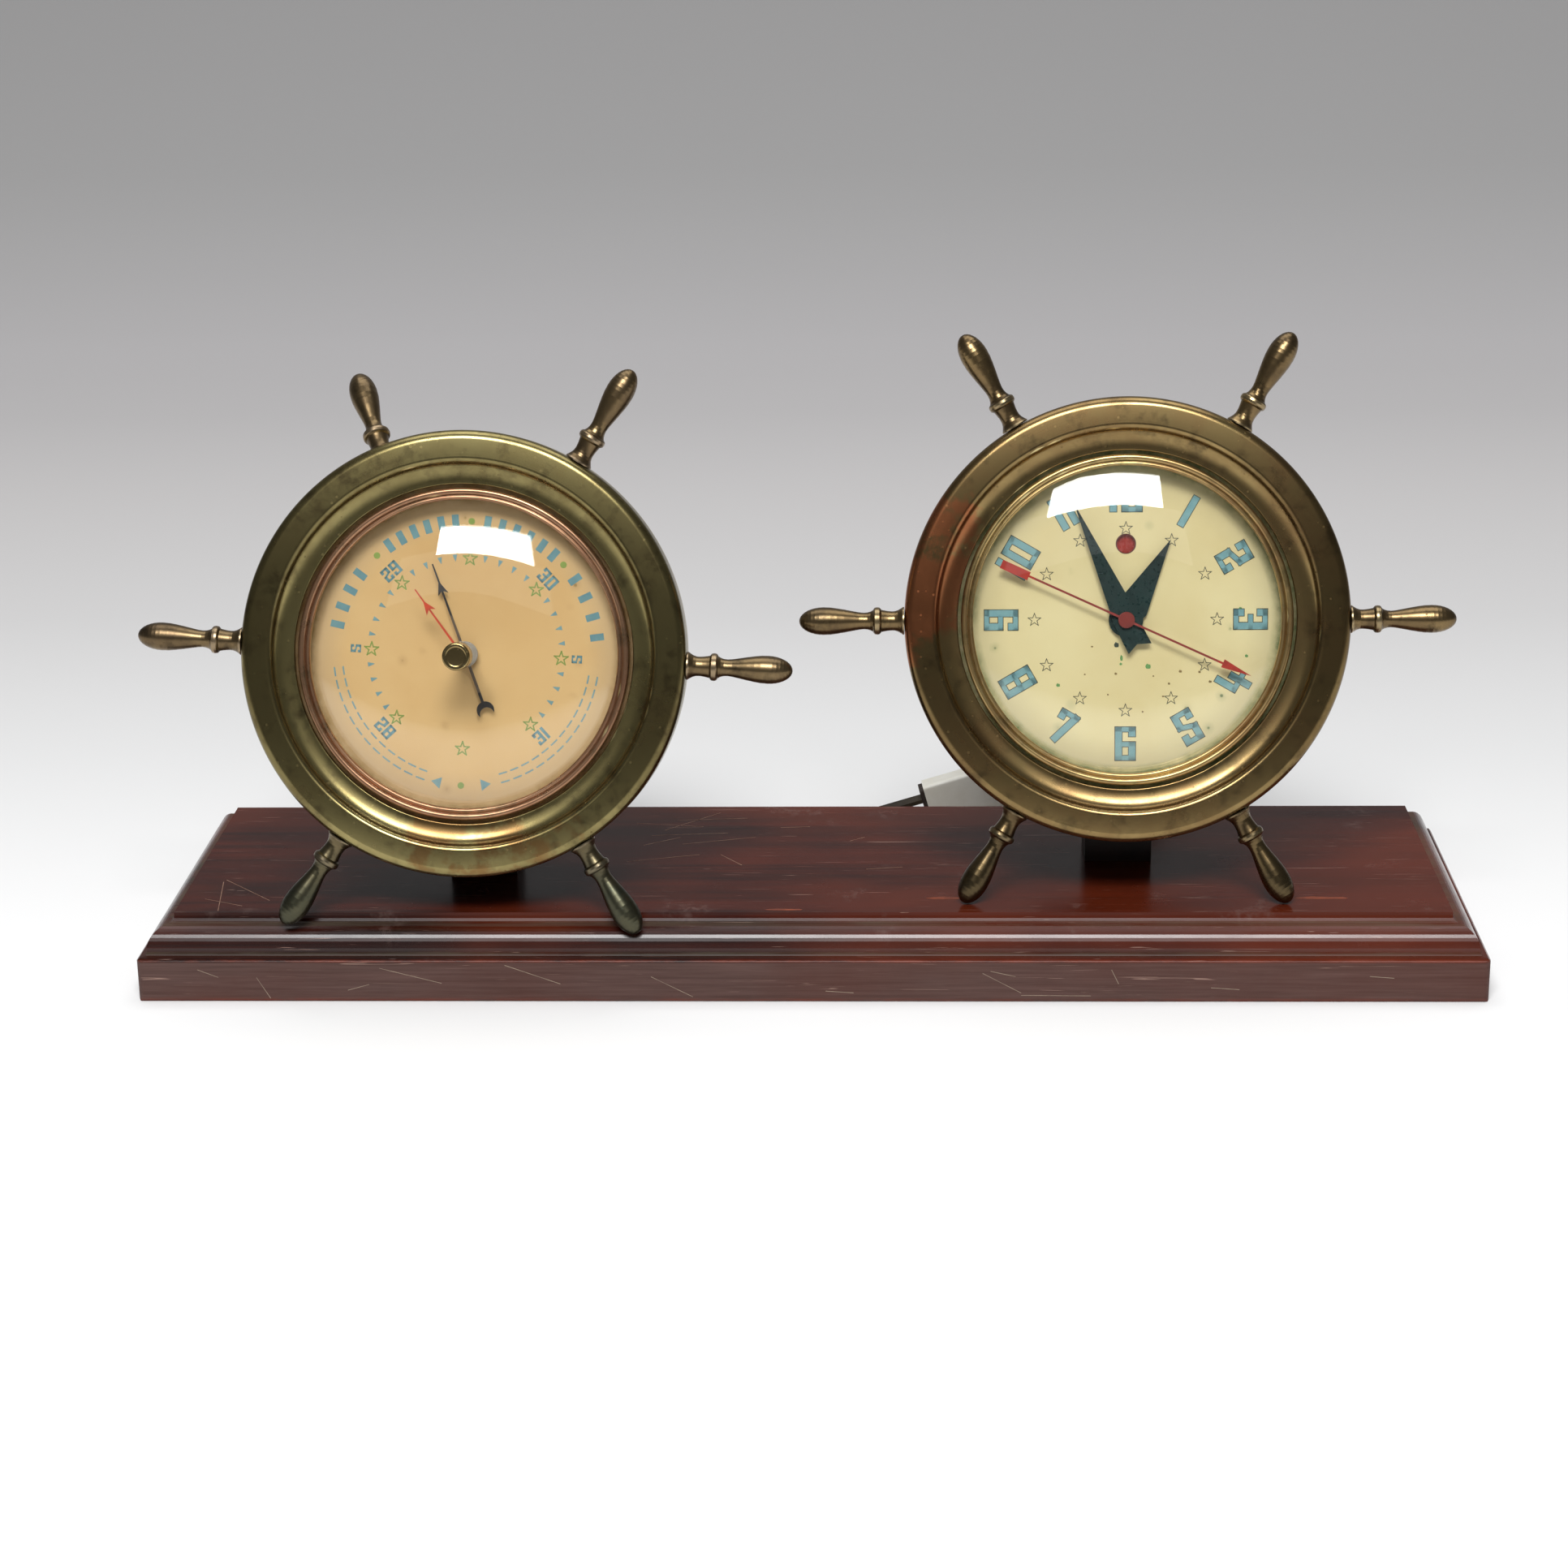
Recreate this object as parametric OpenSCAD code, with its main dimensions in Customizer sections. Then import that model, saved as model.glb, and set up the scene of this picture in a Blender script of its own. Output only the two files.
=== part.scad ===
// Desk clock with barometer: two brass ship's-wheel instruments on a moulded wood base.
// Millimetres, +Z up, the viewer at -Y. The origin is the centre of the base's underside.

/* [Base] */
// Width of the base board
base_w = 432; // [410:1:460]
// Depth of the base board, front to back
base_d = 127; // [124:1:140]
// Height of the base board
base_h = 26.5; // [25.5:0.5:29]
// Height of the upright edge below the moulding
edge_h = 13.8; // [12:0.2:14.4]
// Width of the moulding that runs round the top
moulding_w = 11; // [10:0.2:12]
// Rounding of the upright corners
corner_r = 2; // [1:0.5:3]

/* [Instruments] */
// Place of the clock to the right of the middle
clock_x = 101.7; // [98:0.1:106]
// Place of the clock's centre in front of the middle
clock_front = 23.2; // [21:0.1:25]
// Place of the barometer to the left of the middle
barometer_x = 108.9; // [105:0.1:113]
// Place of the barometer's centre in front of the middle
barometer_front = 38.6; // [38:0.1:40]
// How much lower the barometer's centre lies than the clock's
barometer_drop = 6.2; // [5.8:0.1:6.3]
// Backward lean of both instruments, in degrees
lean = 14; // [13:0.5:15]
// Clockwise turn of the barometer on its block, in degrees
barometer_roll = 3.1; // [0:0.1:4]

/* [Wheels] */
// Outer radius of the wheel rims
rim_r = 70.9; // [69:0.1:73]
// Depth of the side wall of a rim
rim_depth = 14; // [12:0.5:16]
// Radius of the opening in a rim
rim_hole_r = 53.9; // [53.6:0.1:54.6]
// Thickness of the spun brass
rim_wall = 1.2; // [0.8:0.1:1.4]
// Length of a handle from the rim to its tip
handle_l = 33.6; // [31:0.2:36]
// Diameter of a handle at its swell
handle_d = 8.9; // [8:0.1:9.4]
// Diameter of the stud that carries a handle
stud_d = 3; // [2.4:0.1:3.4]

/* [Cases] */
// Outer radius of the drum behind each dial
drum_r = 57; // [56.4:0.1:58]
// Depth of the drum behind the rim's middle plane
drum_l = 52; // [48:1:56]
// Wall thickness of the drum
drum_wall = 1; // [0.8:0.1:1.2]
// Radius of the domed crystal
crystal_r = 49.4; // [49:0.1:49.8]
// Rise of the clock's crystal
clock_rise = 7; // [6.4:0.1:8]
// Rise of the barometer's crystal
barometer_rise = 9.6; // [8.6:0.1:10]
// Thickness of the crystal
crystal_t = 1.6; // [1.2:0.1:1.8]

/* [Clock] */
// Reach of the hour hand
hour_l = 29.3; // [26:0.1:31]
// Reach of the minute hand
minute_l = 40.6; // [38:0.1:42]
// Reach of the second hand each way
second_l = 43.6; // [42:0.1:45]
// Distance from the hands' centre to the setting arbor
gear_gap = 12; // [11:0.5:13]
// Radius of the window in the dial
window_r = 3.05; // [2.6:0.05:3.4]
// Distance of the window above the hands' centre
window_up = 24.2; // [23:0.1:25]

/* [Barometer] */
// Reach of the pressure pointer
pointer_l = 30.3; // [28:0.1:32]
// Reach of the brass set hand
set_l = 25.4; // [23:0.1:27]
// Radius of the aneroid capsule
capsule_r = 19; // [16:0.5:21]
// Diameter of the brass knob on the crystal
knob_d = 8.3; // [7.6:0.1:9]

/* [Cord] */
// Diameter of the mains cord
cord_d = 5; // [5:0.1:5.4]
// Turns in the coil of cord
coil_turns = 9.25; // [8.25:1:9.25]

/* [Hidden] */

// Fineness of the true circles
$fn = 96;
// Overrun of every cut past the face that it opens
over = 0.5;
// Clearance of a fixed fit, of a running fit and between pieces that only lie close
fit_gap = 0.05;
run_gap = 0.05;
loose_gap = 0.3;

// Base moulding, as shares of its width and of its height above the upright edge
moulding_h = base_h - edge_h;
edge_shares = [[0.02, 0.02], [0.07, 0.06]];
cove_shares = [[0.245, 0.08], [0.265, 0.11], [0.28, 0.17], [0.28, 0.25]];
ovolo_start_share = [0.28, 0.27];
ovolo_end_share = [0.69, 0.735];
ovolo_bulge_share = 0.09;
ovolo_steps = 7;
quirk_shares = [[0.77, 0.75], [0.87, 0.755], [0.94, 0.785], [0.985, 0.85], [1, 0.92]];
foot_round = 1;

// Stand blocks and screws
block_w = 22;
block_d = 20;
clock_block_margin = 7.6;
barometer_block_margin = 6.2;
wood_screw_r = 2;
wood_screw_head_r = 4;
wood_screw_head_h = 2.4;
wood_screw_sink = 1;
wood_screw_bite = 10;
wood_screw_pitch = 11;
case_screw_r = 1.6;
case_screw_head_r = 3.4;
case_screw_head_h = 2;
case_screw_bite = 8;
clock_screw_share = 0.80;
barometer_screw_share = 0.84;
case_screw_angles = [-5.5, 5.5];
slot_w = 0.9;
slot_depth = 0.9;

// Rim section: widths as shares of the rim's width, depths behind the front plane
rim_w = rim_r - rim_hole_r;
front_z = rim_depth / 2;
back_z = -rim_depth / 2;
rim_round = rim_w * 0.1;
band_w = rim_w * 0.565;
band_fall = 0.5;
crown_start = 78;
crown_shares = [[0.87, 0.4], [0.71, 0.15], [0.54, 0.05], [0.36, 0.12], [0.21, 0.35], [0.1, 0.6]];
groove_depth = 2.4;
bead_r = rim_w * 0.059;
bead_angles = [20, 160];
bead_depth = 1.8;
cove_depth = 5.5;
lip_w = rim_w * 0.041;
lip_depth = 6.2;
arc_steps = 6;
lip_steps = 4;
edge_steps = 3;
handle_facets = 48;
rim_back_t = 1;

// Handle outline: distances from the rim and radii as shares of the handle's length and radius
swell_r = handle_d / 2;
swell_share = 0.768;
handle_shares = [
    [0, 1], [0.012, 1], [0.03, 0.90], [0.06, 0.77], [0.09, 0.70], [0.116, 0.69], [0.15, 0.71],
    [0.19, 0.76], [0.215, 0.80], [0.225, 0.90], [0.235, 0.965], [0.256, 0.99], [0.277, 0.965],
    [0.287, 0.90], [0.297, 0.78], [0.32, 0.68], [0.35, 0.615], [0.384, 0.595], [0.43, 0.63],
    [0.50, 0.73], [0.57, 0.83], [0.64, 0.92], [0.70, 0.98]
];
swell_l = handle_l * (1 - swell_share);
swell_steps = 9;
nut_w = 5.5;
nut_h = 2.4;
stud_show = 0.8;
clock_angles = [0, 60, 120, 180, 240, 300];
barometer_angles = [0, 61.75, 115, 179.5, 238.5, 304.6];
clock_back_angles = [0, 0, 0, 0, 0, 0];
barometer_back_angles = [0, 0, 32, 0, 0, 0];
bent_sink = 3.9;
bent_behind = 3.2;

// Depths along each instrument's own axis, measured from the handles' plane
drum_in = drum_r - drum_wall;
drum_front = -1.7;
dial_z = -5;
dial_t = 0.4;
dial_r = drum_in - fit_gap;
crystal_seat = -1.55;
crystal_top = crystal_seat + crystal_t;
cover_t = 1.2;
cover_lip_h = 3;
cover_lip_t = 1;
post_r = 3.5;
post_inset = 6;
post_radius = drum_in - post_inset;
post_angles = [90, 210, 330];
ledge_w = 3;
ledge_t = 1;
machine_screw_r = 1.4;
machine_head_r = 2.6;
machine_head_h = 1.5;
machine_bite = 3.5;

// Glass bezel: a rolled front ring with a skirt that holds the dial
bezel_gap = 1.1;
bezel_r = rim_hole_r - bezel_gap;
bezel_lip = 0.8;
bezel_front = 2.5;
bezel_swell = 1.9;
bezel_lip_z = 0.9;
bezel_flange_z = -2;
bezel_back_gap = 0.4;
bezel_skirt_w = 1;
bezel_steps = 8;
dome_steps = 16;

// Clock train: the setting arbor's wheel turns the cannon pinion, its pinion the hour wheel
plate_z = -11;
plate_t = 1;
dish_wall = 1;
back_plate_z = -drum_l * 0.558;
back_plate_r = 41;
back_plate_cut = 30.5;
pillar_r = 2.2;
pillar_x = 25;
pillar_y = 28;
tenon_r = 1.2;
pillar_nut_w = 4.6;
pillar_nut_h = 2;
second_arbor_r = 0.4;
centre_tube_r = 0.8;
cannon_r = 1.3;
hour_pipe_r = 1.9;
setting_arbor_r = 1.2;
dial_hole_gap = 0.3;
hand_t = 0.4;
hour_z = -3.6;
minute_z = -2.2;
second_z = -0.8;
cannon_teeth = 12;
minute_teeth = 36;
minute_pinion_teeth = 10;
hour_teeth = 40;
minute_module = gear_gap * 2 / (cannon_teeth + minute_teeth);
hour_module = gear_gap * 2 / (minute_pinion_teeth + hour_teeth);
gear_t = 0.8;
minute_wheel_z = -10.5;
hour_wheel_z = -8.9;
setting_front = -7.2;
tooth_shares = [0.25, 0.15, -0.15, -0.25];
addendum_share = 0.9;
dedendum_share = 1.25;
minute_angle = -24.2;
hour_angle = 29.1;
second_angle = 114.4;

// Outlines of the hands, as shares of each hand's reach
minute_shares = [[0, 1], [0.100, 0.02], [0.098, -0.12], [0.106, -0.25], [0, -0.21],
    [-0.092, -0.254], [-0.098, -0.12], [-0.100, 0.02]];
hour_shares = [[0, 1], [0.172, 0.15], [0.10, -0.05], [-0.10, -0.05], [-0.172, 0.15]];
hour_hub_r = 5.5;
minute_hub_r = 4;
second_hub_r = 2.6;
second_w = 0.7;
second_mark_w = 2.8;
second_mark_l = 9.6;
second_tip_l = 10;

// Motor behind the back plate
rotor_x = 0;
rotor_y = 11;
rotor_r = 11;
rotor_l = 15;
rotor_snout_r = 4.5;
rotor_snout_l = 3;
core_t = 12;
core_left = 44;
core_right = 17.5;
core_low = -3;
core_high = 24.5;
core_window_left = 36;
core_window_right = 18;
core_band = 6;
winding_t = 3.2;
winding_end = 1.5;

// Red indicator behind the dial's window, on an arbor that a lever at the back resets
flag_x = 14;
flag_y = 30;
flag_arbor_r = 0.8;
flag_r = window_r + 0.5;
flag_z = -6.4;
flag_t = 0.3;
flag_arm_w = 1.6;
lever_l = 9;
lever_w = 3;
lever_t = 1.2;
knob_gap = 0.8;
set_knob_r = 6;
set_knob_h = 7;
knurl_count = 24;
knurl_r = 0.35;

// Barometer movement
base_plate_z = -drum_l * 0.846;
base_plate_t = 1.6;
base_plate_r = drum_in - ledge_w - loose_gap;
capsule_y = -4;
capsule_h = drum_l * 0.135;
capsule_foot_h = drum_l * 0.046;
capsule_foot_r = 5;
capsule_waves = 4;
capsule_wave_h = 0.7;
capsule_post_r = 1.6;
capsule_post_h = drum_l * 0.069;
spring_w = 16;
spring_t = 0.9;
spring_back = 27;
spring_reach = -12;
spring_foot = 9;
spring_bend_share = 0.43;
bridge_z = -drum_l * 0.308;
bridge_t = 1.2;
bridge_half = 24;
bridge_w = 12;
bridge_hub_r = 2.6;
bridge_hub_l = 5;
bridge_pillar_r = 2;
bridge_tenon_h = 2;
pointer_arbor_r = 0.6;
pointer_drum_r = 1.6;
pointer_drum_h = 2.2;
pointer_z = -2.5;
pointer_w = 0.9;
pointer_angle = -22.5;
pointer_tail = 18.9;
crescent_r = 2.8;
crescent_shift = 1.5;
pointer_hub_r = 2.2;
barb_l = 2.6;
barb_w = 2.2;
barb_share = 0.72;
lever_shaft_r = 1;
lever_shaft_y = 12;
lever_gap = 0.5;
lever_arm_l = 9;
lever_link_l = 8;
lever_arm_w = 2;
lever_ear_t = 1.2;
adjust_r = 2.4;
adjust_y = 22;
adjust_head_r = 3.4;
adjust_head_h = 2;

// Set hand and its knob
set_z = 4;
set_angle = -38.6;
set_shaft_r = 1.5;
set_hub_r = 3;
set_hub_h = 1.4;
set_w = 0.8;
knob_h = 7.4;
knob_neck_h = 1.8;
knob_neck_share = 0.7;
knob_edge_share = 0.2;

// Cord route: points chosen by hand, behind the clock
bushing_y = -40;
bushing_r = 4.2;
bushing_flange_r = 6;
bushing_flange_h = 1.4;
bushing_nose_l = 20;
cord_r = cord_d / 2;
coil_x = 110;
coil_y = 109;
coil_inner_r = 15;
coil_gap = 0.6;
coil_pitch = cord_d + coil_gap;
coil_layer = coil_pitch;
coil_rings = 24;
coil_sides = 6;
coil_climb_turns = 0.5;
cord_sides = 8;
lead_points = [[104, 50, 55], [110, 58, 49.5], [120, 66, 42], [131, 73, 33.5], [140, 81, 24],
    [147, 90, 15.5]];
tail_points = [[93.5, 95, 25.6], [98.8, 104, 24.8], [98.8, 115.5, 22.8], [94.5, 127, 20],
    [87.5, 137.5, 16.4], [81.6, 147, 12], [80.6, 154, 7.8], [85.4, 157.4, 4.8], [92, 155, 3.5],
    [98.5, 151.3, 3.4]];
spline_steps = 3;

// Plug behind the board, on edge: it leans on one corner and on the tip of its lower blade
plug_x = 38.5;
plug_y = 88.4;
plug_turn = 4;
plug_l = 38;
plug_w = 9;
plug_h = 24;
plug_back_w = 8;
plug_back_h = 13;
plug_round = 1.4;
plug_facets = 24;
plug_nose_l = 7;
plug_face_t = 1.6;
plug_face_inset = 0.8;
blade_l = 16;
blade_t = 1.4;
blade_w = 6.4;
blade_pitch = 12.7;
plug_front_l = 24;
tie_w = 4;
tie_t = 0.6;
tie_turn = 45;

// World places that follow from the sizes above
handle_centre_r = rim_r + handle_l * swell_share;
reach_share = sin(60) * cos(lean);
handle_drop = handle_centre_r * reach_share
    + sqrt(pow(swell_l * reach_share, 2) + pow(swell_r, 2) * (1 - pow(reach_share, 2)));
clock_z = base_h + loose_gap + handle_drop;
barometer_z = clock_z - barometer_drop;
coil_floor = tie_t + loose_gap + cord_r;
coil_outer_r = coil_inner_r + coil_pitch * coil_turns / 2;
clock_block_front = clock_front + screw_forward(clock_screw_share) + clock_block_margin;
barometer_block_front = barometer_front + screw_forward(barometer_screw_share) + barometer_block_margin;
dome_z = crystal_top + barometer_rise;

// How far in front of an instrument's centre its case screws enter the block
function screw_forward(share) = drum_in * sin(lean) - drum_l * share * cos(lean);
function clock_point(p) = [
    clock_x + p.x,
    -clock_front + p.y * sin(lean) - p.z * cos(lean),
    clock_z + p.y * cos(lean) + p.z * sin(lean)
];
function arc(c, r, from, to, steps) =
    [for (k = [0:steps]) c + r * [cos(from + (to - from) * k / steps), sin(from + (to - from) * k / steps)]];
function scaled(shares, x, y) = [for (s = shares) [s[0] * x, s[1] * y]];
function moved(points, by) = [for (p = points) p + by];
// Arc from a to b that bulges to the left of its way by the given rise
function bulge(a, b, rise, steps) =
    let (half = norm(b - a) / 2, r = (half * half + rise * rise) / (2 * rise),
         along = (b - a) / (2 * half), left = [-along.y, along.x],
         c = (a + b) / 2 - left * (r - rise), swing = asin(half / r))
    [for (k = [0:steps]) let (t = -swing + 2 * swing * k / steps) c + r * (sin(t) * along + cos(t) * left)];

module at_clock() {
    translate([clock_x, -clock_front, clock_z]) rotate([90 - lean, 0, 0]) children();
}
module at_barometer() {
    translate([-barometer_x, -barometer_front, barometer_z])
        rotate([90 - lean, 0, 0]) rotate([0, 0, -barometer_roll]) children();
}
module disc(r, from, to) {
    translate([0, 0, min(from, to)]) cylinder(r = r, h = abs(to - from));
}
module ring(outer, inner, from, to) {
    difference() {
        disc(outer, from, to);
        disc(inner, min(from, to) - over, max(from, to) + over);
    }
}
module hex_prism(across, h) {
    cylinder(r = across / 2 / cos(30), h = h, $fn = 6);
}

// Base board: one moulded section run along the length and one along the depth, mitred
function section_side() =
    let (m = [moulding_w, moulding_h], up = [0, edge_h])
    concat(
        arc([foot_round, foot_round], foot_round, 270, 180, edge_steps),
        [[0, edge_h]],
        moved(scaled(edge_shares, m.x, m.y), up),
        moved(scaled(cove_shares, m.x, m.y), up),
        bulge(up + [m.x * ovolo_start_share.x, m.y * ovolo_start_share.y],
              up + [m.x * ovolo_end_share.x, m.y * ovolo_end_share.y],
              moulding_w * ovolo_bulge_share, ovolo_steps),
        moved(scaled(quirk_shares, m.x, m.y), up),
        [[m.x, base_h]]
    );
module section(half) {
    side = section_side();
    last = len(side) - 1;
    polygon(concat(
        [for (p = side) [p.x - half, p.y]],
        [for (i = [last:-1:0]) [half - side[i].x, side[i].y]]
    ));
}
module rounded_plan(w, d, r) {
    square([w - 2 * r, d], center = true);
    square([w, d - 2 * r], center = true);
    for (x = [-1, 1], y = [-1, 1]) translate([x * (w / 2 - r), y * (d / 2 - r)]) circle(r = r);
}
module at_wood_screws() {
    block_places = [[clock_x, clock_block_front], [-barometer_x, barometer_block_front]];
    for (p = block_places, k = [-1, 1])
        translate([p.x, block_d / 2 - p.y + k * wood_screw_pitch / 2, 0]) children();
}
module base_plinth() {
    head_room = wood_screw_head_h + wood_screw_sink;
    color([0.29, 0.09, 0.06]) difference() {
        intersection() {
            rotate([90, 0, 90]) linear_extrude(height = base_w, center = true) section(base_d / 2);
            rotate([90, 0, 0]) linear_extrude(height = base_d, center = true) section(base_w / 2);
            linear_extrude(height = base_h) rounded_plan(base_w, base_d, corner_r);
        }
        at_wood_screws() {
            disc(wood_screw_r + fit_gap, -over, base_h + over);
            disc(wood_screw_head_r + loose_gap, -over, head_room);
        }
    }
}
module stand_block(x, front) {
    color([0.10, 0.05, 0.04]) difference() {
        translate([x - block_w / 2, -front, base_h]) cube([block_w, block_d, clock_z - base_h]);
        at_wood_screws() disc(wood_screw_r + fit_gap, base_h - over, base_h + wood_screw_bite);
        children();
    }
}
module case_screw_bores(share, roll) {
    at_case_screws(share, roll) disc(case_screw_r + fit_gap, -over, case_screw_bite + over);
}
module drum_cut() {
    disc(drum_r + fit_gap, over, -2 * drum_l);
}
module clock_block() {
    stand_block(clock_x, clock_block_front) at_clock() {
        drum_cut();
        case_screw_bores(clock_screw_share, 0);
    }
}
module barometer_block() {
    stand_block(-barometer_x, barometer_block_front) at_barometer() {
        drum_cut();
        case_screw_bores(barometer_screw_share, barometer_roll);
    }
}
module slotted_head(r, h) {
    difference() {
        cylinder(r = r, h = h);
        translate([-r - over, -slot_w / 2, h - slot_depth]) cube([2 * (r + over), slot_w, slot_depth + over]);
    }
}
module block_screws() {
    color("darkgoldenrod") at_wood_screws() {
        disc(wood_screw_r, wood_screw_sink + wood_screw_head_h, base_h + wood_screw_bite - loose_gap);
        translate([0, 0, wood_screw_sink + wood_screw_head_h]) mirror([0, 0, 1])
            slotted_head(wood_screw_head_r, wood_screw_head_h);
    }
}
// The case screws' frames: the origin is on the drum's inner wall and +Z runs down into the block
module at_case_screws(share, roll) {
    for (a = case_screw_angles)
        rotate([0, 0, a + roll]) translate([0, -drum_in, -drum_l * share]) rotate([90, 0, 0]) children();
}
module case_screw_set(share, roll) {
    at_case_screws(share, roll) {
        disc(case_screw_r, -loose_gap, case_screw_bite);
        translate([0, 0, -loose_gap]) mirror([0, 0, 1]) slotted_head(case_screw_head_r, case_screw_head_h);
    }
}
module case_screws() {
    color("gray") {
        at_clock() case_screw_set(clock_screw_share, 0);
        at_barometer() case_screw_set(barometer_screw_share, barometer_roll);
    }
}

// Wheel rim: a hollow spun ring, its face stepping down from a flat band to a small lip
function rim_outside() =
    let (band_r = rim_r - band_w, bead = [band_r - bead_r, front_z - bead_depth - bead_r],
         cove_r = bead.x - bead_r)
    concat(
        [[rim_r, back_z]],
        arc([rim_r - rim_round, front_z - band_fall / 2 - rim_round], rim_round, 0, crown_start, arc_steps),
        [for (c = crown_shares) [band_r + c[0] * (band_w - rim_round), front_z - c[1] * band_fall]],
        [[band_r, front_z - band_fall]],
        arc(bead, bead_r, bead_angles[0], bead_angles[1], arc_steps),
        bulge([cove_r, bead.y - bead_r / 2], [rim_hole_r + lip_w, front_z - cove_depth], -lip_w / 2, lip_steps),
        arc([rim_hole_r + lip_w / 2, front_z - cove_depth], lip_w / 2, 0, 180, lip_steps),
        [[rim_hole_r, front_z - lip_depth]]
    );
function rim_inside() =
    let (band_r = rim_r - band_w, floor_z = front_z - groove_depth - rim_wall, corner = max(rim_round, rim_wall))
    [
        [rim_hole_r, front_z - lip_depth - rim_wall / 2],
        [rim_hole_r + rim_wall, front_z - cove_depth - rim_wall],
        [band_r - 2 * bead_r + lip_w, floor_z - bead_r / 2],
        [band_r + rim_wall, floor_z],
        [band_r + rim_wall, front_z - band_fall - rim_wall],
        [rim_r - corner, front_z - rim_wall],
        [rim_r - rim_wall, front_z - corner],
        [rim_r - rim_wall, back_z]
    ];
// A handle's frame: its origin is on the rim's side wall and +Z runs out along the handle
module at_handles(angles, back_angles) {
    for (i = [0:len(angles) - 1]) {
        bent = back_angles[i] > 0;
        rotate([0, 0, angles[i]]) translate([rim_r, 0, bent ? -bent_behind : 0])
            rotate([0, 90 + back_angles[i], 0])
                translate([0, 0, bent ? -bent_sink : fit_gap]) children();
    }
}
module wheel_rim(angles, back_angles) {
    color([0.66, 0.58, 0.32]) difference() {
        rotate_extrude() polygon(concat(rim_outside(), rim_inside()));
        at_handles(angles, clock_back_angles) disc(stud_d / 2 + fit_gap, -rim_wall * 2, over);
        for (i = [0:len(angles) - 1]) if (back_angles[i] > 0)
            rotate([0, 0, angles[i]]) translate([rim_r, 0, -bent_behind])
                rotate([0, 90 + back_angles[i], 0]) disc(swell_r + loose_gap, -2 * bent_sink, 2 * bent_sink);
    }
}
module handle_set(angles, back_angles) {
    color([0.55, 0.46, 0.30]) at_handles(angles, back_angles) {
        rotate_extrude($fn = handle_facets) polygon(concat(
            [[0, 0]],
            [for (s = handle_shares) [s[1] * swell_r, s[0] * handle_l]],
            [for (k = [0:swell_steps]) let (t = 90 * k / swell_steps)
                [k == swell_steps ? 0 : swell_r * cos(t), handle_l * swell_share + swell_l * sin(t)]]
        ));
        disc(stud_d / 2, over, -rim_wall - nut_h - stud_show);
    }
}
module nut_set(angles, back_angles) {
    color("goldenrod") at_handles(angles, back_angles)
        translate([0, 0, -rim_wall - nut_h - 3 * fit_gap]) difference() {
            hex_prism(nut_w, nut_h);
            disc(stud_d / 2 + fit_gap, -over, nut_h + over);
        }
}
module clock_rim() { at_clock() wheel_rim(clock_angles, clock_back_angles); }
module clock_handles() { at_clock() handle_set(clock_angles, clock_back_angles); }
module clock_handle_nuts() { at_clock() nut_set(clock_angles, clock_back_angles); }
module barometer_rim() { at_barometer() wheel_rim(barometer_angles, barometer_back_angles); }
module barometer_handles() { at_barometer() handle_set(barometer_angles, barometer_back_angles); }
module barometer_handle_nuts() { at_barometer() nut_set(barometer_angles, barometer_back_angles); }

// Case: a drum with the flange that closes the rim and posts that carry the movement
module at_posts() {
    for (a = post_angles) rotate([0, 0, a]) translate([post_radius, 0, 0]) children();
}
module drum_case(post_front, has_ledge, screw_share, roll) {
    ledge_z = dial_z - dial_t;
    ledge_in = has_ledge ? drum_in - ledge_w : drum_in;
    flange_r = rim_r - rim_wall - fit_gap;
    color([0.42, 0.42, 0.40]) difference() {
        union() {
            rotate_extrude() polygon([
                [drum_r, -drum_l], [drum_r, back_z], [flange_r, back_z], [flange_r, back_z + rim_back_t],
                [drum_r, back_z + rim_back_t], [drum_r, drum_front], [drum_in, drum_front],
                [drum_in, ledge_z], [ledge_in, ledge_z], [ledge_in, ledge_z - ledge_t],
                [drum_in, ledge_z - ledge_t], [drum_in, -drum_l]
            ]);
            intersection() {
                at_posts() {
                    disc(post_r, -drum_l, post_front);
                    translate([0, -post_r, -drum_l]) cube([post_r * 2, post_r * 2, post_front + drum_l]);
                }
                disc(drum_in + drum_wall / 2, -drum_l, post_front);
            }
        }
        at_posts() {
            disc(machine_screw_r + fit_gap, -drum_l - over, -drum_l + machine_bite + over);
            disc(machine_screw_r + fit_gap, post_front + over, post_front - machine_bite - over);
        }
        case_screw_bores(screw_share, roll);
        at_case_screws(screw_share, roll) disc(case_screw_head_r + loose_gap, 0, -case_screw_head_h);
    }
}
module cover_disc() {
    inner = drum_in - fit_gap;
    difference() {
        union() {
            disc(drum_r, -drum_l - cover_t, -drum_l);
            ring(inner, inner - cover_lip_t, -drum_l - over, -drum_l + cover_lip_h);
        }
        at_posts() {
            disc(machine_screw_r + fit_gap, -drum_l - cover_t - over, -drum_l + over);
            disc(post_r + loose_gap, -drum_l, -drum_l + 2 * cover_lip_h);
            translate([0, -post_r - loose_gap, -drum_l])
                cube([2 * post_r, 2 * (post_r + loose_gap), 2 * cover_lip_h]);
        }
        children();
    }
}
module cover_screw_set() {
    at_posts() translate([0, 0, -drum_l - cover_t]) {
        disc(machine_screw_r, -over, cover_t + machine_bite);
        mirror([0, 0, 1]) slotted_head(machine_head_r, machine_head_h);
    }
}
module clock_case() {
    at_clock() drum_case(plate_z - plate_t, false, clock_screw_share, 0);
}
module barometer_case() {
    at_barometer() drum_case(base_plate_z, true, barometer_screw_share, barometer_roll);
}
module clock_back_cover() {
    color([0.20, 0.19, 0.18]) at_clock() cover_disc() {
        translate([0, -gear_gap, 0]) disc(setting_arbor_r + loose_gap, -2 * drum_l, 0);
        translate([flag_x, flag_y, 0]) disc(flag_arbor_r + loose_gap, -2 * drum_l, 0);
        translate([0, bushing_y, 0]) disc(bushing_r + fit_gap, -2 * drum_l, 0);
    }
}
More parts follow.
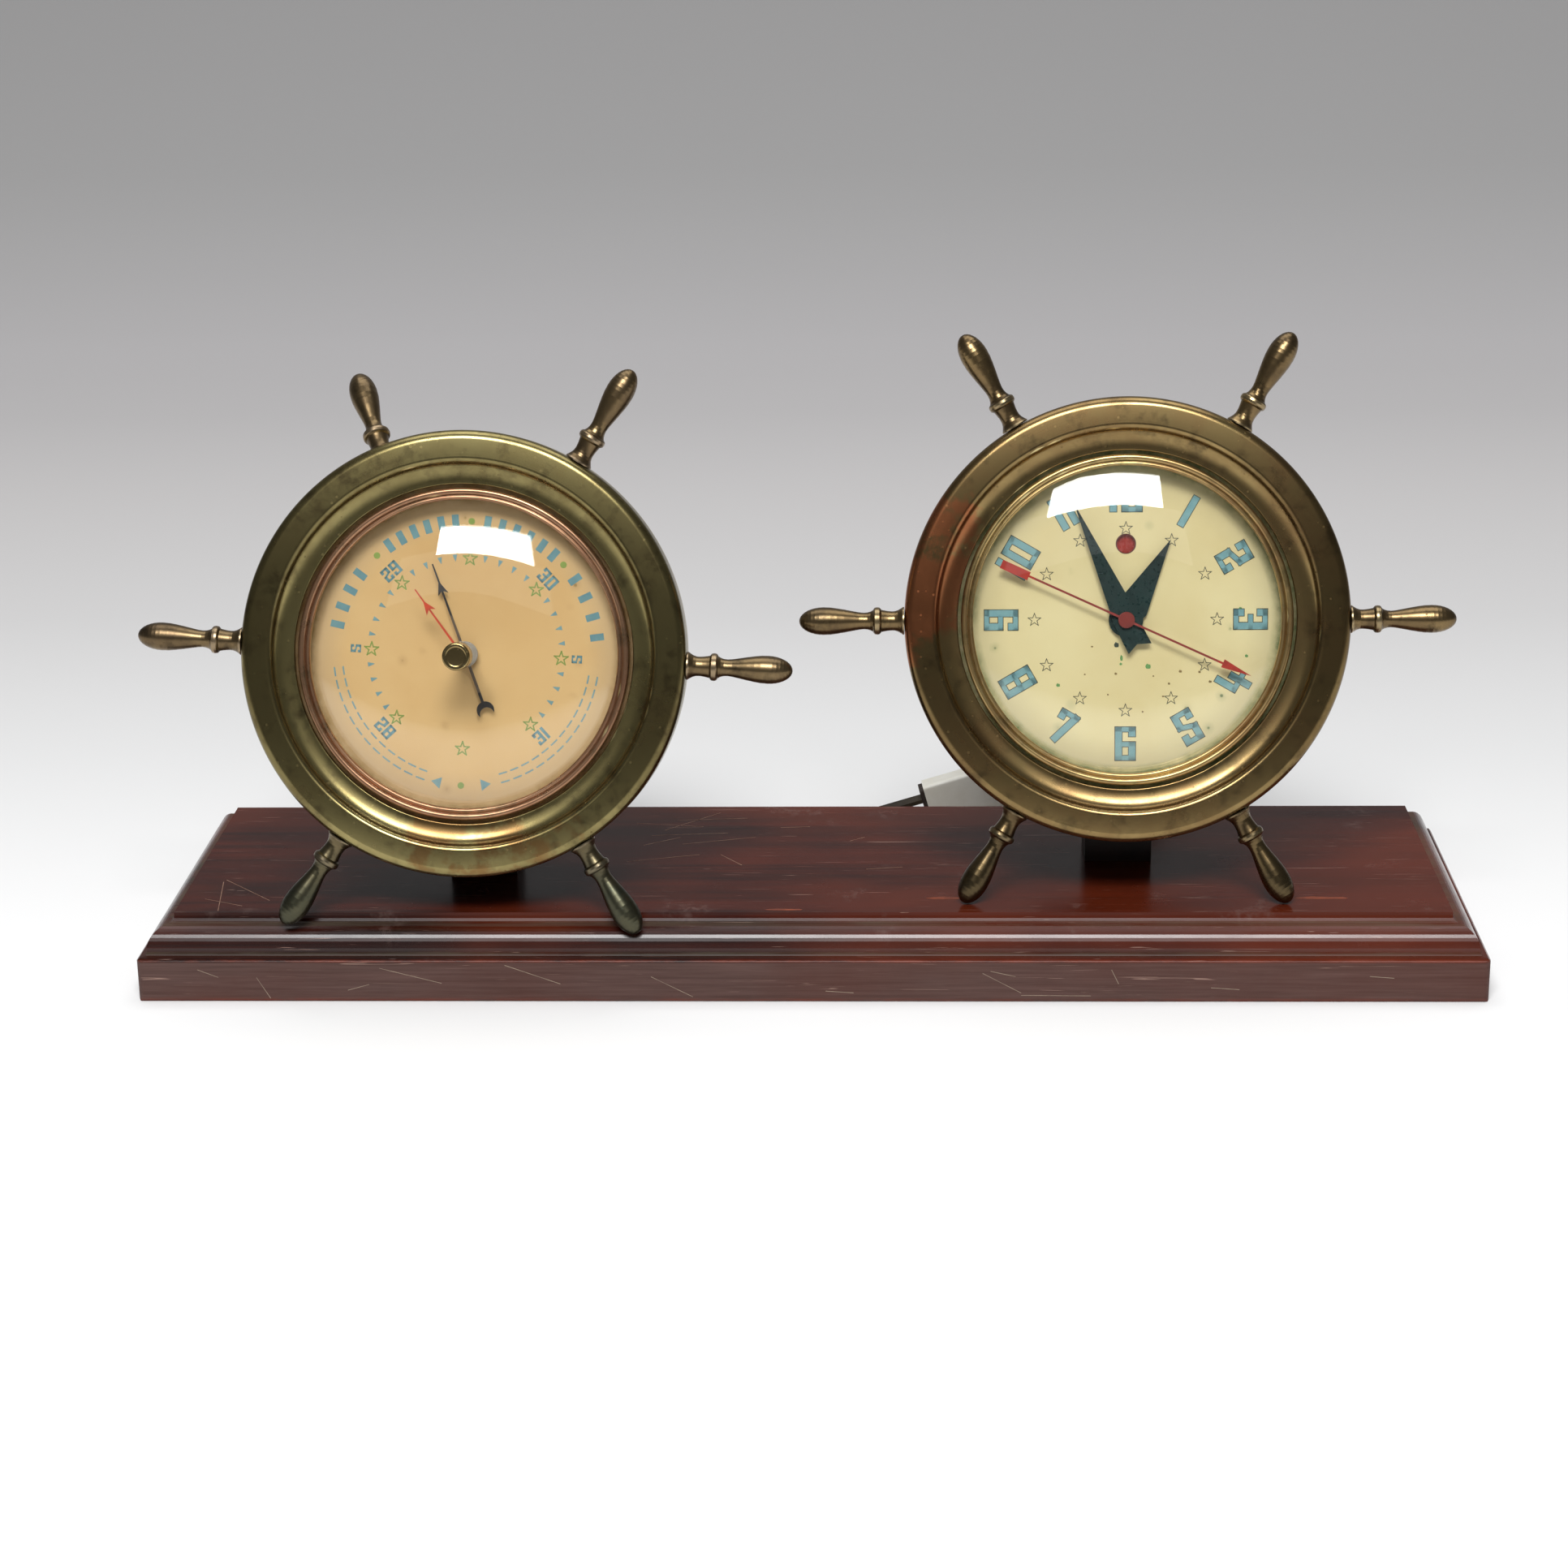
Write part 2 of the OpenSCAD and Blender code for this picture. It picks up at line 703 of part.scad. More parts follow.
module barometer_back_cover() {
    color([0.20, 0.19, 0.18]) at_barometer() cover_disc()
        translate([0, adjust_y, 0]) disc(adjust_head_r + loose_gap, -2 * drum_l, 0);
}
module clock_back_screws() { color("silver") at_clock() cover_screw_set(); }
module barometer_back_screws() { color("silver") at_barometer() cover_screw_set(); }

// Glass bezel: its rolled front holds the crystal's edge, its skirt clamps the dial
module glass_bezel() {
    lip_r = crystal_r - bezel_lip;
    skirt_r = drum_in - fit_gap;
    front = [(bezel_r + lip_r) / 2, bezel_front - bezel_swell];
    roll = (bezel_r - lip_r) / 2;
    color([0.62, 0.50, 0.34]) rotate_extrude() polygon(concat(
        [[skirt_r, dial_z + fit_gap], [skirt_r, bezel_flange_z], [bezel_r, bezel_flange_z]],
        [for (k = [0:bezel_steps]) let (t = 180 * k / bezel_steps) front + [roll * cos(t), bezel_swell * sin(t)]],
        [[lip_r, bezel_lip_z], [crystal_r + fit_gap, bezel_lip_z], [crystal_r + fit_gap, crystal_seat - fit_gap],
         [lip_r, crystal_seat - fit_gap], [lip_r - bezel_lip / 2, dial_z + bezel_back_gap],
         [skirt_r - bezel_skirt_w, dial_z + bezel_back_gap], [skirt_r - bezel_skirt_w, dial_z + fit_gap]]
    ));
}
// Height of a domed crystal over its edge: flat in the middle, steepest at the edge
function dome_height(r, rise) = rise * (1 - pow(r / crystal_r, 3));
module dome_crystal(rise, hole_r) {
    radii = [for (k = [0:dome_steps]) crystal_r * (1 - pow(k / dome_steps, 2))];
    color([0.80, 0.86, 0.88, 0.35]) difference() {
        rotate_extrude() polygon(concat(
            [for (r = radii) [r, crystal_top + dome_height(r, rise)]],
            [for (k = [dome_steps:-1:0]) [radii[k], crystal_seat + dome_height(radii[k], rise)]]
        ));
        if (hole_r > 0) disc(hole_r, 0, 2 * dome_z);
    }
}
module clock_glass_bezel() { at_clock() glass_bezel(); }
module barometer_glass_bezel() { at_barometer() glass_bezel(); }
module clock_crystal() { at_clock() dome_crystal(clock_rise, 0); }
module barometer_crystal() { at_barometer() dome_crystal(barometer_rise, set_shaft_r + run_gap); }
module clock_dial() {
    color([0.89, 0.84, 0.66]) at_clock() difference() {
        disc(dial_r, dial_z - dial_t, dial_z);
        disc(hour_pipe_r + dial_hole_gap, dial_z - 2 * dial_t, dial_z + over);
        translate([0, window_up, 0]) disc(window_r, dial_z - 2 * dial_t, dial_z + over);
    }
}
module barometer_dial() {
    color([0.90, 0.76, 0.56]) at_barometer() difference() {
        disc(dial_r, dial_z - dial_t, dial_z);
        disc(pointer_arbor_r + dial_hole_gap, dial_z - 2 * dial_t, dial_z + over);
    }
}

// Movement plates: the front plate is a dish that the dial lies on
module at_pillars() {
    for (x = [-1, 1], y = [-1, 1]) translate([x * pillar_x, y * pillar_y, 0]) children();
}
module arbor_bores(from, to) {
    translate([0, -gear_gap, 0]) disc(setting_arbor_r + run_gap, from, to);
    translate([flag_x, flag_y, 0]) disc(flag_arbor_r + run_gap, from, to);
    at_pillars() disc(tenon_r + fit_gap, from, to);
}
module front_plate() {
    dish_r = drum_in - fit_gap;
    color([0.70, 0.62, 0.38]) at_clock() difference() {
        union() {
            disc(dish_r, plate_z - plate_t, plate_z);
            ring(dish_r, dish_r - dish_wall, plate_z - plate_t, dial_z - dial_t - fit_gap);
            disc(centre_tube_r, plate_z - plate_t, second_z - hand_t - loose_gap);
        }
        disc(second_arbor_r + run_gap, -drum_l, drum_l);
        arbor_bores(plate_z - plate_t - over, plate_z + over);
        at_posts() disc(machine_screw_r + fit_gap, plate_z - plate_t - over, plate_z + over);
    }
}
module movement_screw_set() {
    at_posts() translate([0, 0, plate_z]) {
        disc(machine_screw_r, over - machine_bite - plate_t, 0);
        slotted_head(machine_head_r, machine_head_h);
    }
}
module back_plate() {
    color([0.70, 0.62, 0.38]) at_clock() difference() {
        intersection() {
            disc(back_plate_r, back_plate_z - plate_t, back_plate_z);
            translate([-back_plate_cut, -back_plate_r, back_plate_z - plate_t])
                cube([2 * back_plate_r, 2 * back_plate_r, 2 * plate_t]);
        }
        disc(second_arbor_r + run_gap, -drum_l, drum_l);
        arbor_bores(back_plate_z - plate_t - over, back_plate_z + over);
        translate([rotor_x, rotor_y, 0])
            disc(rotor_snout_r + fit_gap, back_plate_z - plate_t - over, back_plate_z + over);
    }
}
module plate_pillars() {
    front = plate_z - plate_t;
    color("goldenrod") at_clock() at_pillars() {
        disc(pillar_r, back_plate_z, front);
        disc(tenon_r, back_plate_z - plate_t - pillar_nut_h - loose_gap, plate_z);
    }
}
module pillar_nuts() {
    color("silver") at_clock() at_pillars() translate([0, 0, back_plate_z - plate_t - pillar_nut_h])
        difference() {
            hex_prism(pillar_nut_w, pillar_nut_h);
            disc(tenon_r + fit_gap, -over, pillar_nut_h + over);
        }
}

// Gears with thin straight-sided teeth; tooth 0 points along +X
module gear_outline(teeth, size) {
    pitch_r = teeth * size / 2;
    tip = pitch_r + addendum_share * size;
    root = pitch_r - dedendum_share * size;
    step = 360 / teeth;
    polygon([for (i = [0:teeth - 1], s = tooth_shares) let (r = abs(s) == max(tooth_shares) ? root : tip)
        r * [cos(i * step - s * step), sin(i * step - s * step)]]);
}
module gear(teeth, size, from, t) {
    translate([0, 0, from]) linear_extrude(height = t) gear_outline(teeth, size);
}
module hour_wheel() {
    color("goldenrod") at_clock() difference() {
        union() {
            gear(hour_teeth, hour_module, hour_wheel_z, gear_t);
            disc(hour_pipe_r, hour_wheel_z, hour_z + hand_t / 2);
        }
        disc(cannon_r + run_gap, hour_wheel_z - over, hour_z + over);
    }
}
module hour_hand() {
    color([0.10, 0.16, 0.15]) at_clock() translate([0, 0, hour_z - hand_t / 2]) difference() {
        linear_extrude(height = hand_t) rotate([0, 0, -hour_angle]) {
            polygon(scaled(hour_shares, hour_l, hour_l));
            circle(r = hour_hub_r);
        }
        disc(hour_pipe_r + fit_gap, -over, hand_t + over);
    }
}
module minute_hand() {
    low = minute_wheel_z - gear_t / 2;
    color([0.08, 0.13, 0.12]) at_clock() difference() {
        union() {
            translate([0, 0, minute_z - hand_t / 2]) linear_extrude(height = hand_t)
                rotate([0, 0, -minute_angle]) {
                    polygon(scaled(minute_shares, minute_l, minute_l));
                    circle(r = minute_hub_r);
                }
            disc(cannon_r, low, minute_z);
            gear(cannon_teeth, minute_module, low, hour_wheel_z - loose_gap - low);
        }
        disc(centre_tube_r + run_gap, low - over, minute_z + over);
    }
}
module second_hand() {
    tail = second_l - second_mark_l;
    tip = second_l - second_tip_l;
    color([0.75, 0.10, 0.08]) at_clock() {
        translate([0, 0, second_z - hand_t / 2]) linear_extrude(height = hand_t)
            rotate([0, 0, -second_angle]) {
                translate([-second_w / 2, -second_l + second_w]) square([second_w, tip + second_l]);
                translate([-second_mark_w / 2, -second_l]) square([second_mark_w, second_mark_l]);
                polygon([[-second_mark_w / 2, tip], [second_mark_w / 2, tip], [0, second_l]]);
                circle(r = second_hub_r);
            }
        disc(second_arbor_r, back_plate_z - plate_t + fit_gap, second_z);
    }
}
module minute_wheel() {
    low = minute_wheel_z - gear_t / 2;
    color("goldenrod") at_clock() translate([0, -gear_gap, 0]) {
        rotate([0, 0, 180 / minute_teeth]) gear(minute_teeth, minute_module, low, gear_t);
        gear(minute_pinion_teeth, hour_module, low, setting_front - low);
        disc(setting_arbor_r, -drum_l - cover_t - knob_gap - set_knob_h / 2, setting_front);
    }
}
module clock_set_knob() {
    far = -drum_l - cover_t - knob_gap;
    color([0.60, 0.52, 0.30]) at_clock() translate([0, -gear_gap, far - set_knob_h]) difference() {
        cylinder(r = set_knob_r, h = set_knob_h);
        disc(setting_arbor_r + fit_gap, set_knob_h / 2 - over, set_knob_h + over);
        for (k = [0:knurl_count - 1]) rotate([0, 0, 360 * k / knurl_count])
            translate([set_knob_r, 0, 0]) disc(knurl_r, -over, set_knob_h + over);
    }
}
module indicator_flag() {
    arm = [-flag_x, window_up - flag_y];
    color([0.72, 0.14, 0.10]) at_clock() translate([flag_x, flag_y, 0]) {
        translate([0, 0, flag_z - flag_t / 2]) linear_extrude(height = flag_t) {
            translate(arm) circle(r = flag_r);
            rotate([0, 0, atan2(arm.y, arm.x)]) translate([0, -flag_arm_w / 2]) square([norm(arm), flag_arm_w]);
            circle(r = flag_arm_w);
        }
        disc(flag_arbor_r, -drum_l - cover_t - knob_gap - lever_t, flag_z);
    }
}
module reset_lever() {
    far = -drum_l - cover_t - knob_gap - lever_t;
    color("silver") at_clock() translate([flag_x, flag_y, far]) difference() {
        linear_extrude(height = lever_t) {
            circle(r = lever_w);
            translate([-lever_w / 2, 0]) square([lever_w, lever_l]);
            translate([0, lever_l]) circle(r = lever_w / 2);
        }
        disc(flag_arbor_r + fit_gap, -over, lever_t + over);
    }
}
module field_core() {
    color([0.33, 0.33, 0.35]) at_clock() translate([0, 0, back_plate_z - plate_t - core_t])
        linear_extrude(height = core_t) difference() {
            translate([-core_left, core_low]) square([core_left + core_right, core_high - core_low]);
            translate([rotor_x, rotor_y]) circle(r = rotor_r + fit_gap);
            translate([-core_window_left, core_low + core_band])
                square([core_window_left - core_window_right, core_high - core_low - 2 * core_band]);
        }
}
module coil_winding() {
    leg_w = core_left - core_window_left;
    gap = fit_gap * 2;
    span = core_high - core_low - 2 * core_band - 2 * winding_end;
    color([0.45, 0.16, 0.08]) at_clock()
        translate([-core_left - winding_t, core_low + core_band + winding_end, back_plate_z - plate_t - core_t - winding_t])
            difference() {
                cube([leg_w + 2 * winding_t, span, core_t + 2 * winding_t]);
                translate([winding_t - gap, -over, winding_t - gap])
                    cube([leg_w + 2 * gap, span + 2 * over, core_t + 2 * gap]);
            }
}
module rotor_unit() {
    far = back_plate_z - plate_t;
    color([0.75, 0.50, 0.35]) at_clock() translate([rotor_x, rotor_y, 0]) {
        disc(rotor_r, far - rotor_l, far - fit_gap);
        disc(rotor_snout_r, far - over, back_plate_z + rotor_snout_l);
    }
}

// Aneroid movement: capsule, spring and lever on a base plate, pointer in a bridge
base_top = base_plate_z + base_plate_t;
spring_top = base_top + capsule_foot_h + capsule_h + capsule_post_h;
lever_shaft_z = spring_top + spring_t + lever_gap + lever_shaft_r;
spring_bend = (spring_top + spring_t - base_top) * spring_bend_share;
ear_x = capsule_r - capsule_post_r * 2;
module at_ears() {
    for (s = [-1, 1]) translate([s * (ear_x + lever_ear_t / 2), lever_shaft_y, 0]) children();
}
module aneroid_base_plate() {
    ear_w = 4 * lever_shaft_r;
    color([0.70, 0.62, 0.38]) at_barometer() difference() {
        union() {
            disc(base_plate_r, base_plate_z, base_top);
            at_ears() translate([-lever_ear_t / 2, -ear_w / 2, base_plate_z])
                cube([lever_ear_t, ear_w, lever_shaft_z - base_plate_z + ear_w / 2]);
        }
        translate([-drum_r, lever_shaft_y, lever_shaft_z]) rotate([0, 90, 0])
            cylinder(r = lever_shaft_r + run_gap, h = 2 * drum_r);
        translate([0, adjust_y, 0]) disc(adjust_r + run_gap, base_plate_z - over, base_top + over);
        at_posts() disc(machine_screw_r + fit_gap, base_plate_z - over, base_top + over);
        for (s = [-1, 1]) translate([s * bridge_half, 0, 0])
            disc(tenon_r + fit_gap, base_plate_z - over, base_top + over);
    }
}
module aneroid_screws() {
    color("silver") at_barometer() at_posts() translate([0, 0, base_top]) {
        disc(machine_screw_r, over - machine_bite - base_plate_t, 0);
        slotted_head(machine_head_r, machine_head_h);
    }
}
module movement_screws() {
    color("silver") at_clock() movement_screw_set();
}
module aneroid_capsule() {
    low = base_top + capsule_foot_h;
    wave = (capsule_r - capsule_foot_r) / capsule_waves;
    top = low + capsule_h;
    color([0.72, 0.70, 0.66]) at_barometer() translate([0, capsule_y, 0]) {
        disc(capsule_foot_r, base_top, low + capsule_h / 2);
        disc(capsule_post_r, top - capsule_h / 2, spring_top);
        rotate_extrude() polygon(concat(
            [[0, low], [capsule_foot_r, low]],
            [for (k = [1:2 * capsule_waves]) [capsule_foot_r + k * wave / 2, low + (k % 2) * capsule_wave_h]],
            [for (k = [2 * capsule_waves:-1:1]) [capsule_foot_r + k * wave / 2, top - (k % 2) * capsule_wave_h]],
            [[capsule_foot_r, top], [0, top]]
        ));
    }
}
module main_spring() {
    bend_y = spring_back - spring_bend;
    inner = spring_bend - spring_t;
    low = [bend_y, base_top + spring_bend];
    high = [bend_y, spring_top + spring_t - spring_bend];
    color([0.45, 0.47, 0.50]) at_barometer() rotate([90, 0, 90])
        linear_extrude(height = spring_w, center = true) polygon(concat(
            [[spring_back - spring_foot, base_top]],
            arc(low, spring_bend, 270, 360, arc_steps),
            arc(high, spring_bend, 0, 90, arc_steps),
            [[spring_reach, spring_top + spring_t], [spring_reach, spring_top]],
            arc(high, inner, 90, 0, arc_steps),
            arc(low, inner, 360, 270, arc_steps),
            [[spring_back - spring_foot, base_top + spring_t]]
        ));
}
module lever_arm() {
    half = ear_x + lever_ear_t + loose_gap;
    color("goldenrod") at_barometer() translate([0, lever_shaft_y, lever_shaft_z]) {
        rotate([0, 90, 0]) cylinder(r = lever_shaft_r, h = 2 * half, center = true);
        translate([-lever_arm_w / 2, -lever_shaft_r, 0]) cube([lever_arm_w, lever_shaft_r, lever_arm_l]);
        translate([-lever_arm_w / 2, -lever_link_l, 0]) cube([lever_arm_w, lever_link_l, lever_shaft_r]);
    }
}
module pointer_bridge() {
    color([0.70, 0.62, 0.38]) at_barometer() difference() {
        union() {
            translate([-bridge_half - bridge_w / 2, -bridge_w / 2, bridge_z])
                cube([2 * bridge_half + bridge_w, bridge_w, bridge_t]);
            disc(bridge_hub_r, bridge_z + bridge_t - bridge_hub_l, bridge_z + bridge_t);
        }
        disc(pointer_arbor_r + run_gap, bridge_z - bridge_hub_l, 0);
        for (s = [-1, 1]) translate([s * bridge_half, 0, 0])
            disc(tenon_r + fit_gap, bridge_z - over, bridge_z + bridge_t + over);
    }
}
module bridge_pillars() {
    color("goldenrod") at_barometer() for (s = [-1, 1]) translate([s * bridge_half, 0, 0]) {
        disc(bridge_pillar_r, base_top, bridge_z);
        disc(tenon_r, base_plate_z, bridge_z + bridge_t + bridge_tenon_h / 2);
    }
}
module adjusting_screw() {
    head = -drum_l + cover_t;
    color("goldenrod") at_barometer() translate([0, adjust_y, 0]) {
        disc(adjust_r, head, base_top - fit_gap);
        translate([0, 0, head + adjust_head_h]) mirror([0, 0, 1]) slotted_head(adjust_head_r, adjust_head_h);
    }
}
module barb(reach) {
    translate([0, reach]) polygon([[0, barb_l], [barb_w / 2, -barb_l / 2], [0, 0], [-barb_w / 2, -barb_l / 2]]);
}
module pressure_pointer() {
    drum_top = bridge_z + bridge_t - bridge_hub_l - loose_gap;
    color([0.12, 0.10, 0.10]) at_barometer() {
        translate([0, 0, pointer_z - hand_t / 2]) linear_extrude(height = hand_t)
            rotate([0, 0, -pointer_angle]) {
                polygon([[-pointer_w / 2, 0], [pointer_w / 2, 0], [pointer_w / 4, pointer_l], [-pointer_w / 4, pointer_l]]);
                translate([-pointer_w / 2, crescent_shift - pointer_tail]) square([pointer_w, pointer_tail]);
                barb(pointer_l * barb_share);
                translate([0, -pointer_tail]) difference() {
                    circle(r = crescent_r);
                    translate([0, -crescent_shift]) circle(r = crescent_r - crescent_shift / 3);
                }
                circle(r = pointer_hub_r);
            }
        disc(pointer_arbor_r, drum_top - pointer_drum_h, pointer_z);
        disc(pointer_drum_r, drum_top - pointer_drum_h, drum_top);
    }
}
module set_hand() {
    color([0.72, 0.20, 0.10]) at_barometer() {
        translate([0, 0, set_z - hand_t / 2]) linear_extrude(height = hand_t) rotate([0, 0, -set_angle]) {
            polygon([[-set_w / 2, 0], [set_w / 2, 0], [set_w / 4, set_l], [-set_w / 4, set_l]]);
            barb(set_l * barb_share);
            circle(r = set_hub_r);
        }
        disc(set_hub_r, set_z, set_z + set_hub_h);
        disc(set_shaft_r, set_z, dome_z + loose_gap + knob_neck_h + knob_h / 2);
    }
}
module barometer_set_knob() {
    low = dome_z + loose_gap;
    r = knob_d / 2;
    edge = r * knob_edge_share;
    color([0.62, 0.52, 0.28]) at_barometer() difference() {
        rotate_extrude() polygon(concat(
            [[0, low], [r * knob_neck_share, low], [r * knob_neck_share, low + knob_neck_h], [r - edge, low + knob_neck_h]],
            arc([r - edge, low + knob_neck_h + edge], edge, 270, 360, edge_steps),
            arc([r - edge, low + knob_neck_h + knob_h - edge], edge, 0, 90, edge_steps),
            [[0, low + knob_neck_h + knob_h]]
        ));
        disc(set_shaft_r + fit_gap, low - over, low + knob_neck_h + knob_h / 2);
    }
}

// Cord: tubes swept along points; every ring stands square to the way
function unit(v) = v / norm(v);
function way(p, i) = unit(p[min(i + 1, len(p) - 1)] - p[max(i - 1, 0)]);
function ring_points(c, t, r, sides) =
    let (side = unit(cross(t, [0, 0, 1])), up = cross(side, t))
    [for (k = [0:sides - 1]) let (a = 360 * (k + 0.5) / sides) c + r * (cos(a) * side + sin(a) * up)];
module tube(p, r, sides) {
    last = len(p) - 1;
    points = [for (i = [0:last]) each ring_points(p[i], way(p, i), r, sides)];
    walls = [for (i = [0:last - 1], k = [0:sides - 1])
        let (a = i * sides + k, b = i * sides + (k + 1) % sides)
        each [[a, b, a + sides], [b, b + sides, a + sides]]];
    ends = [[for (k = [sides - 1:-1:0]) k], [for (k = [0:sides - 1]) last * sides + k]];
    polyhedron(points = points, faces = concat(ends, walls), convexity = 10);
}
// Smooth curve through the points, which keeps the first and the last stretch straight
function spline(p, steps) =
    let (last = len(p) - 1)
    concat([p[0]],
        [for (i = [1:last - 2], k = [0:steps - 1]) let (t = k / steps)
            0.5 * (2 * p[i] + (p[i + 1] - p[i - 1]) * t
                + (2 * p[i - 1] - 5 * p[i] + 4 * p[i + 1] - p[i + 2]) * t * t
                + (3 * p[i] - p[i - 1] - 3 * p[i + 1] + p[i + 2]) * t * t * t)],
        [p[last - 1], p[last]]);
// The coil winds in on the lower layer, climbs where it is tightest and winds out on the upper
function coil_point(t) =
    let (turn = abs(t - coil_turns / 2), r = coil_inner_r + coil_pitch * turn, a = 90 - 360 * t,
         climb = max(0, min(1, 0.5 + (t - coil_turns / 2) / coil_climb_turns)))
    [coil_x + r * cos(a), coil_y + r * sin(a), coil_floor + coil_layer * climb];
coil_steps = coil_turns * coil_rings;
coil_start = coil_point(0) - [cord_d, 0, 0];
coil_end = coil_point(coil_turns) - [0, cord_d, 0];
coil_path = concat([coil_start], [for (i = [0:coil_steps]) coil_point(i / coil_rings)], [coil_end]);
coil_reach = floor(coil_rings / 2);
coil_least = min([for (i = [0:len(coil_path) - 1], j = [i + coil_reach:len(coil_path) - 1])
    if (j < len(coil_path)) norm(coil_path[i] - coil_path[j])]) - cord_d;
echo(least_gap_of_coil = coil_least);

nose_z = -drum_l - cover_t - bushing_nose_l;
lead_start = clock_point([0, bushing_y, nose_z]);
lead_next = clock_point([0, bushing_y, nose_z - cord_d]);
plug_rise = atan((plug_h - blade_pitch - blade_t) / 2 / (blade_l + plug_face_t));
plug_z = plug_h / 2 * cos(plug_rise) - plug_face_t * sin(plug_rise);
plug_way = [cos(plug_rise) * cos(plug_turn), cos(plug_rise) * sin(plug_turn), sin(plug_rise)];
tail_start = [plug_x, plug_y, plug_z] + plug_way * (plug_l + plug_nose_l);
module cord_color() { color([0.72, 0.68, 0.58]) children(); }
module cord_lead() {
    cord_color() tube(spline(concat([lead_start, lead_next], lead_points,
        [coil_end - [0, cord_d, 0], coil_end]), spline_steps), cord_r, cord_sides);
}
module cord_coil() {
    cord_color() tube(coil_path, cord_r, coil_sides);
}
module cord_tail() {
    cord_color() tube(spline(concat([tail_start, tail_start + plug_way * cord_d], tail_points,
        [coil_start - [cord_d, 0, 0], coil_start]), spline_steps), cord_r, cord_sides);
}
module cord_bushing() {
    far = -drum_l - cover_t;
    color([0.12, 0.11, 0.10]) at_clock() translate([0, bushing_y, 0]) {
        disc(bushing_flange_r, -drum_l + bushing_flange_h, -drum_l);
        disc(bushing_r, -drum_l + fit_gap, far - fit_gap);
        translate([0, 0, far]) mirror([0, 0, 1]) {
            cylinder(r = bushing_flange_r, h = bushing_flange_h);
            cylinder(r1 = bushing_r, r2 = cord_r + loose_gap, h = bushing_nose_l);
        }
    }
}
// A flat band round the bundle of turns at one place
module cord_tie() {
    inner = coil_inner_r - cord_r - loose_gap;
    high_r = coil_outer_r + cord_r + loose_gap;
    h = coil_floor + coil_layer + cord_r + loose_gap;
    color([0.20, 0.19, 0.18]) translate([coil_x, coil_y, 0]) rotate([0, 0, tie_turn])
        rotate([90, 0, 0]) linear_extrude(height = tie_w, center = true) difference() {
            translate([inner - tie_t, 0]) square([high_r - inner + 2 * tie_t, h + tie_t]);
            translate([inner, tie_t]) square([high_r - inner, h - tie_t]);
        }
}

// Plug: a moulded body that narrows to the cord, a fibre face and two flat blades
module at_plug() {
    translate([plug_x, plug_y, plug_z]) rotate([0, 90 - plug_rise, plug_turn]) children();
}
module plug_block(w, h, r, from, to) {
    for (x = [-1, 1], y = [-1, 1]) translate([x * (h / 2 - r), y * (w / 2 - r), from])
        cylinder(r = r, h = to - from, $fn = plug_facets);
}
module plug_body() {
    color([0.90, 0.89, 0.80]) at_plug() {
        hull() {
            plug_block(plug_w, plug_h, plug_round, plug_face_t, plug_front_l);
            plug_block(plug_back_w, plug_back_h, plug_round, plug_front_l, plug_l);
        }
        disc(cord_r + plug_face_inset, plug_l - over, plug_l + plug_nose_l);
    }
}
module plug_face() {
    inset = 2 * plug_face_inset;
    color([0.16, 0.12, 0.10]) at_plug() difference() {
        linear_extrude(height = plug_face_t) rounded_plan(plug_h - inset, plug_w - inset, plug_round);
        for (s = [-1, 1]) translate([s * blade_pitch / 2, 0, plug_face_t / 2])
            cube([blade_t + 2 * fit_gap, blade_w + 2 * fit_gap, 2 * plug_face_t], center = true);
    }
}
module plug_blades() {
    color([0.60, 0.56, 0.45]) at_plug() for (s = [-1, 1])
        translate([s * blade_pitch / 2 - blade_t / 2, -blade_w / 2, -blade_l])
            cube([blade_t, blade_w, blade_l + plug_face_t]);
}

base_plinth();
clock_block();
barometer_block();
block_screws();
case_screws();
clock_rim();
clock_handles();
clock_handle_nuts();
clock_case();
clock_back_cover();
clock_back_screws();
clock_glass_bezel();
clock_crystal();
clock_dial();
hour_hand();
hour_wheel();
minute_hand();
second_hand();
indicator_flag();
reset_lever();
clock_set_knob();
minute_wheel();
front_plate();
back_plate();
plate_pillars();
pillar_nuts();
movement_screws();
field_core();
coil_winding();
rotor_unit();
barometer_rim();
barometer_handles();
barometer_handle_nuts();
barometer_case();
barometer_back_cover();
barometer_back_screws();
barometer_glass_bezel();
barometer_crystal();
barometer_dial();
pressure_pointer();
set_hand();
barometer_set_knob();
aneroid_base_plate();
aneroid_screws();
aneroid_capsule();
main_spring();
lever_arm();
pointer_bridge();
bridge_pillars();
adjusting_screw();
cord_bushing();
cord_lead();
cord_coil();
cord_tail();
cord_tie();
plug_body();
plug_face();
plug_blades();
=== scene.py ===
"""Looks of the desk clock with barometer: finishes, prints, cord, floor, light and camera."""

import math

import bmesh
import bpy
from mathutils import Matrix, Vector


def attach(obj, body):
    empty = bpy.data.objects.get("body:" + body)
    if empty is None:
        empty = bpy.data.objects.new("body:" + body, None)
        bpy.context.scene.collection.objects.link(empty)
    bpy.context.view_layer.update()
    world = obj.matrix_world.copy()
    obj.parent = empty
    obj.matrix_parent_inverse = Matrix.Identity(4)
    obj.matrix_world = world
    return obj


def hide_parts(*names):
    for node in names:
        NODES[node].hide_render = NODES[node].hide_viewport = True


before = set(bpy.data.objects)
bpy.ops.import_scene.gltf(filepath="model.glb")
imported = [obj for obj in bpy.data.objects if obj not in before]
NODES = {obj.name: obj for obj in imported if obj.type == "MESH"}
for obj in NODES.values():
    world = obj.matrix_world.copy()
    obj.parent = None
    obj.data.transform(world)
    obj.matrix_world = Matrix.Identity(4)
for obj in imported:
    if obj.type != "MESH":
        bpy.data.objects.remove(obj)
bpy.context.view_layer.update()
MM = 0.001

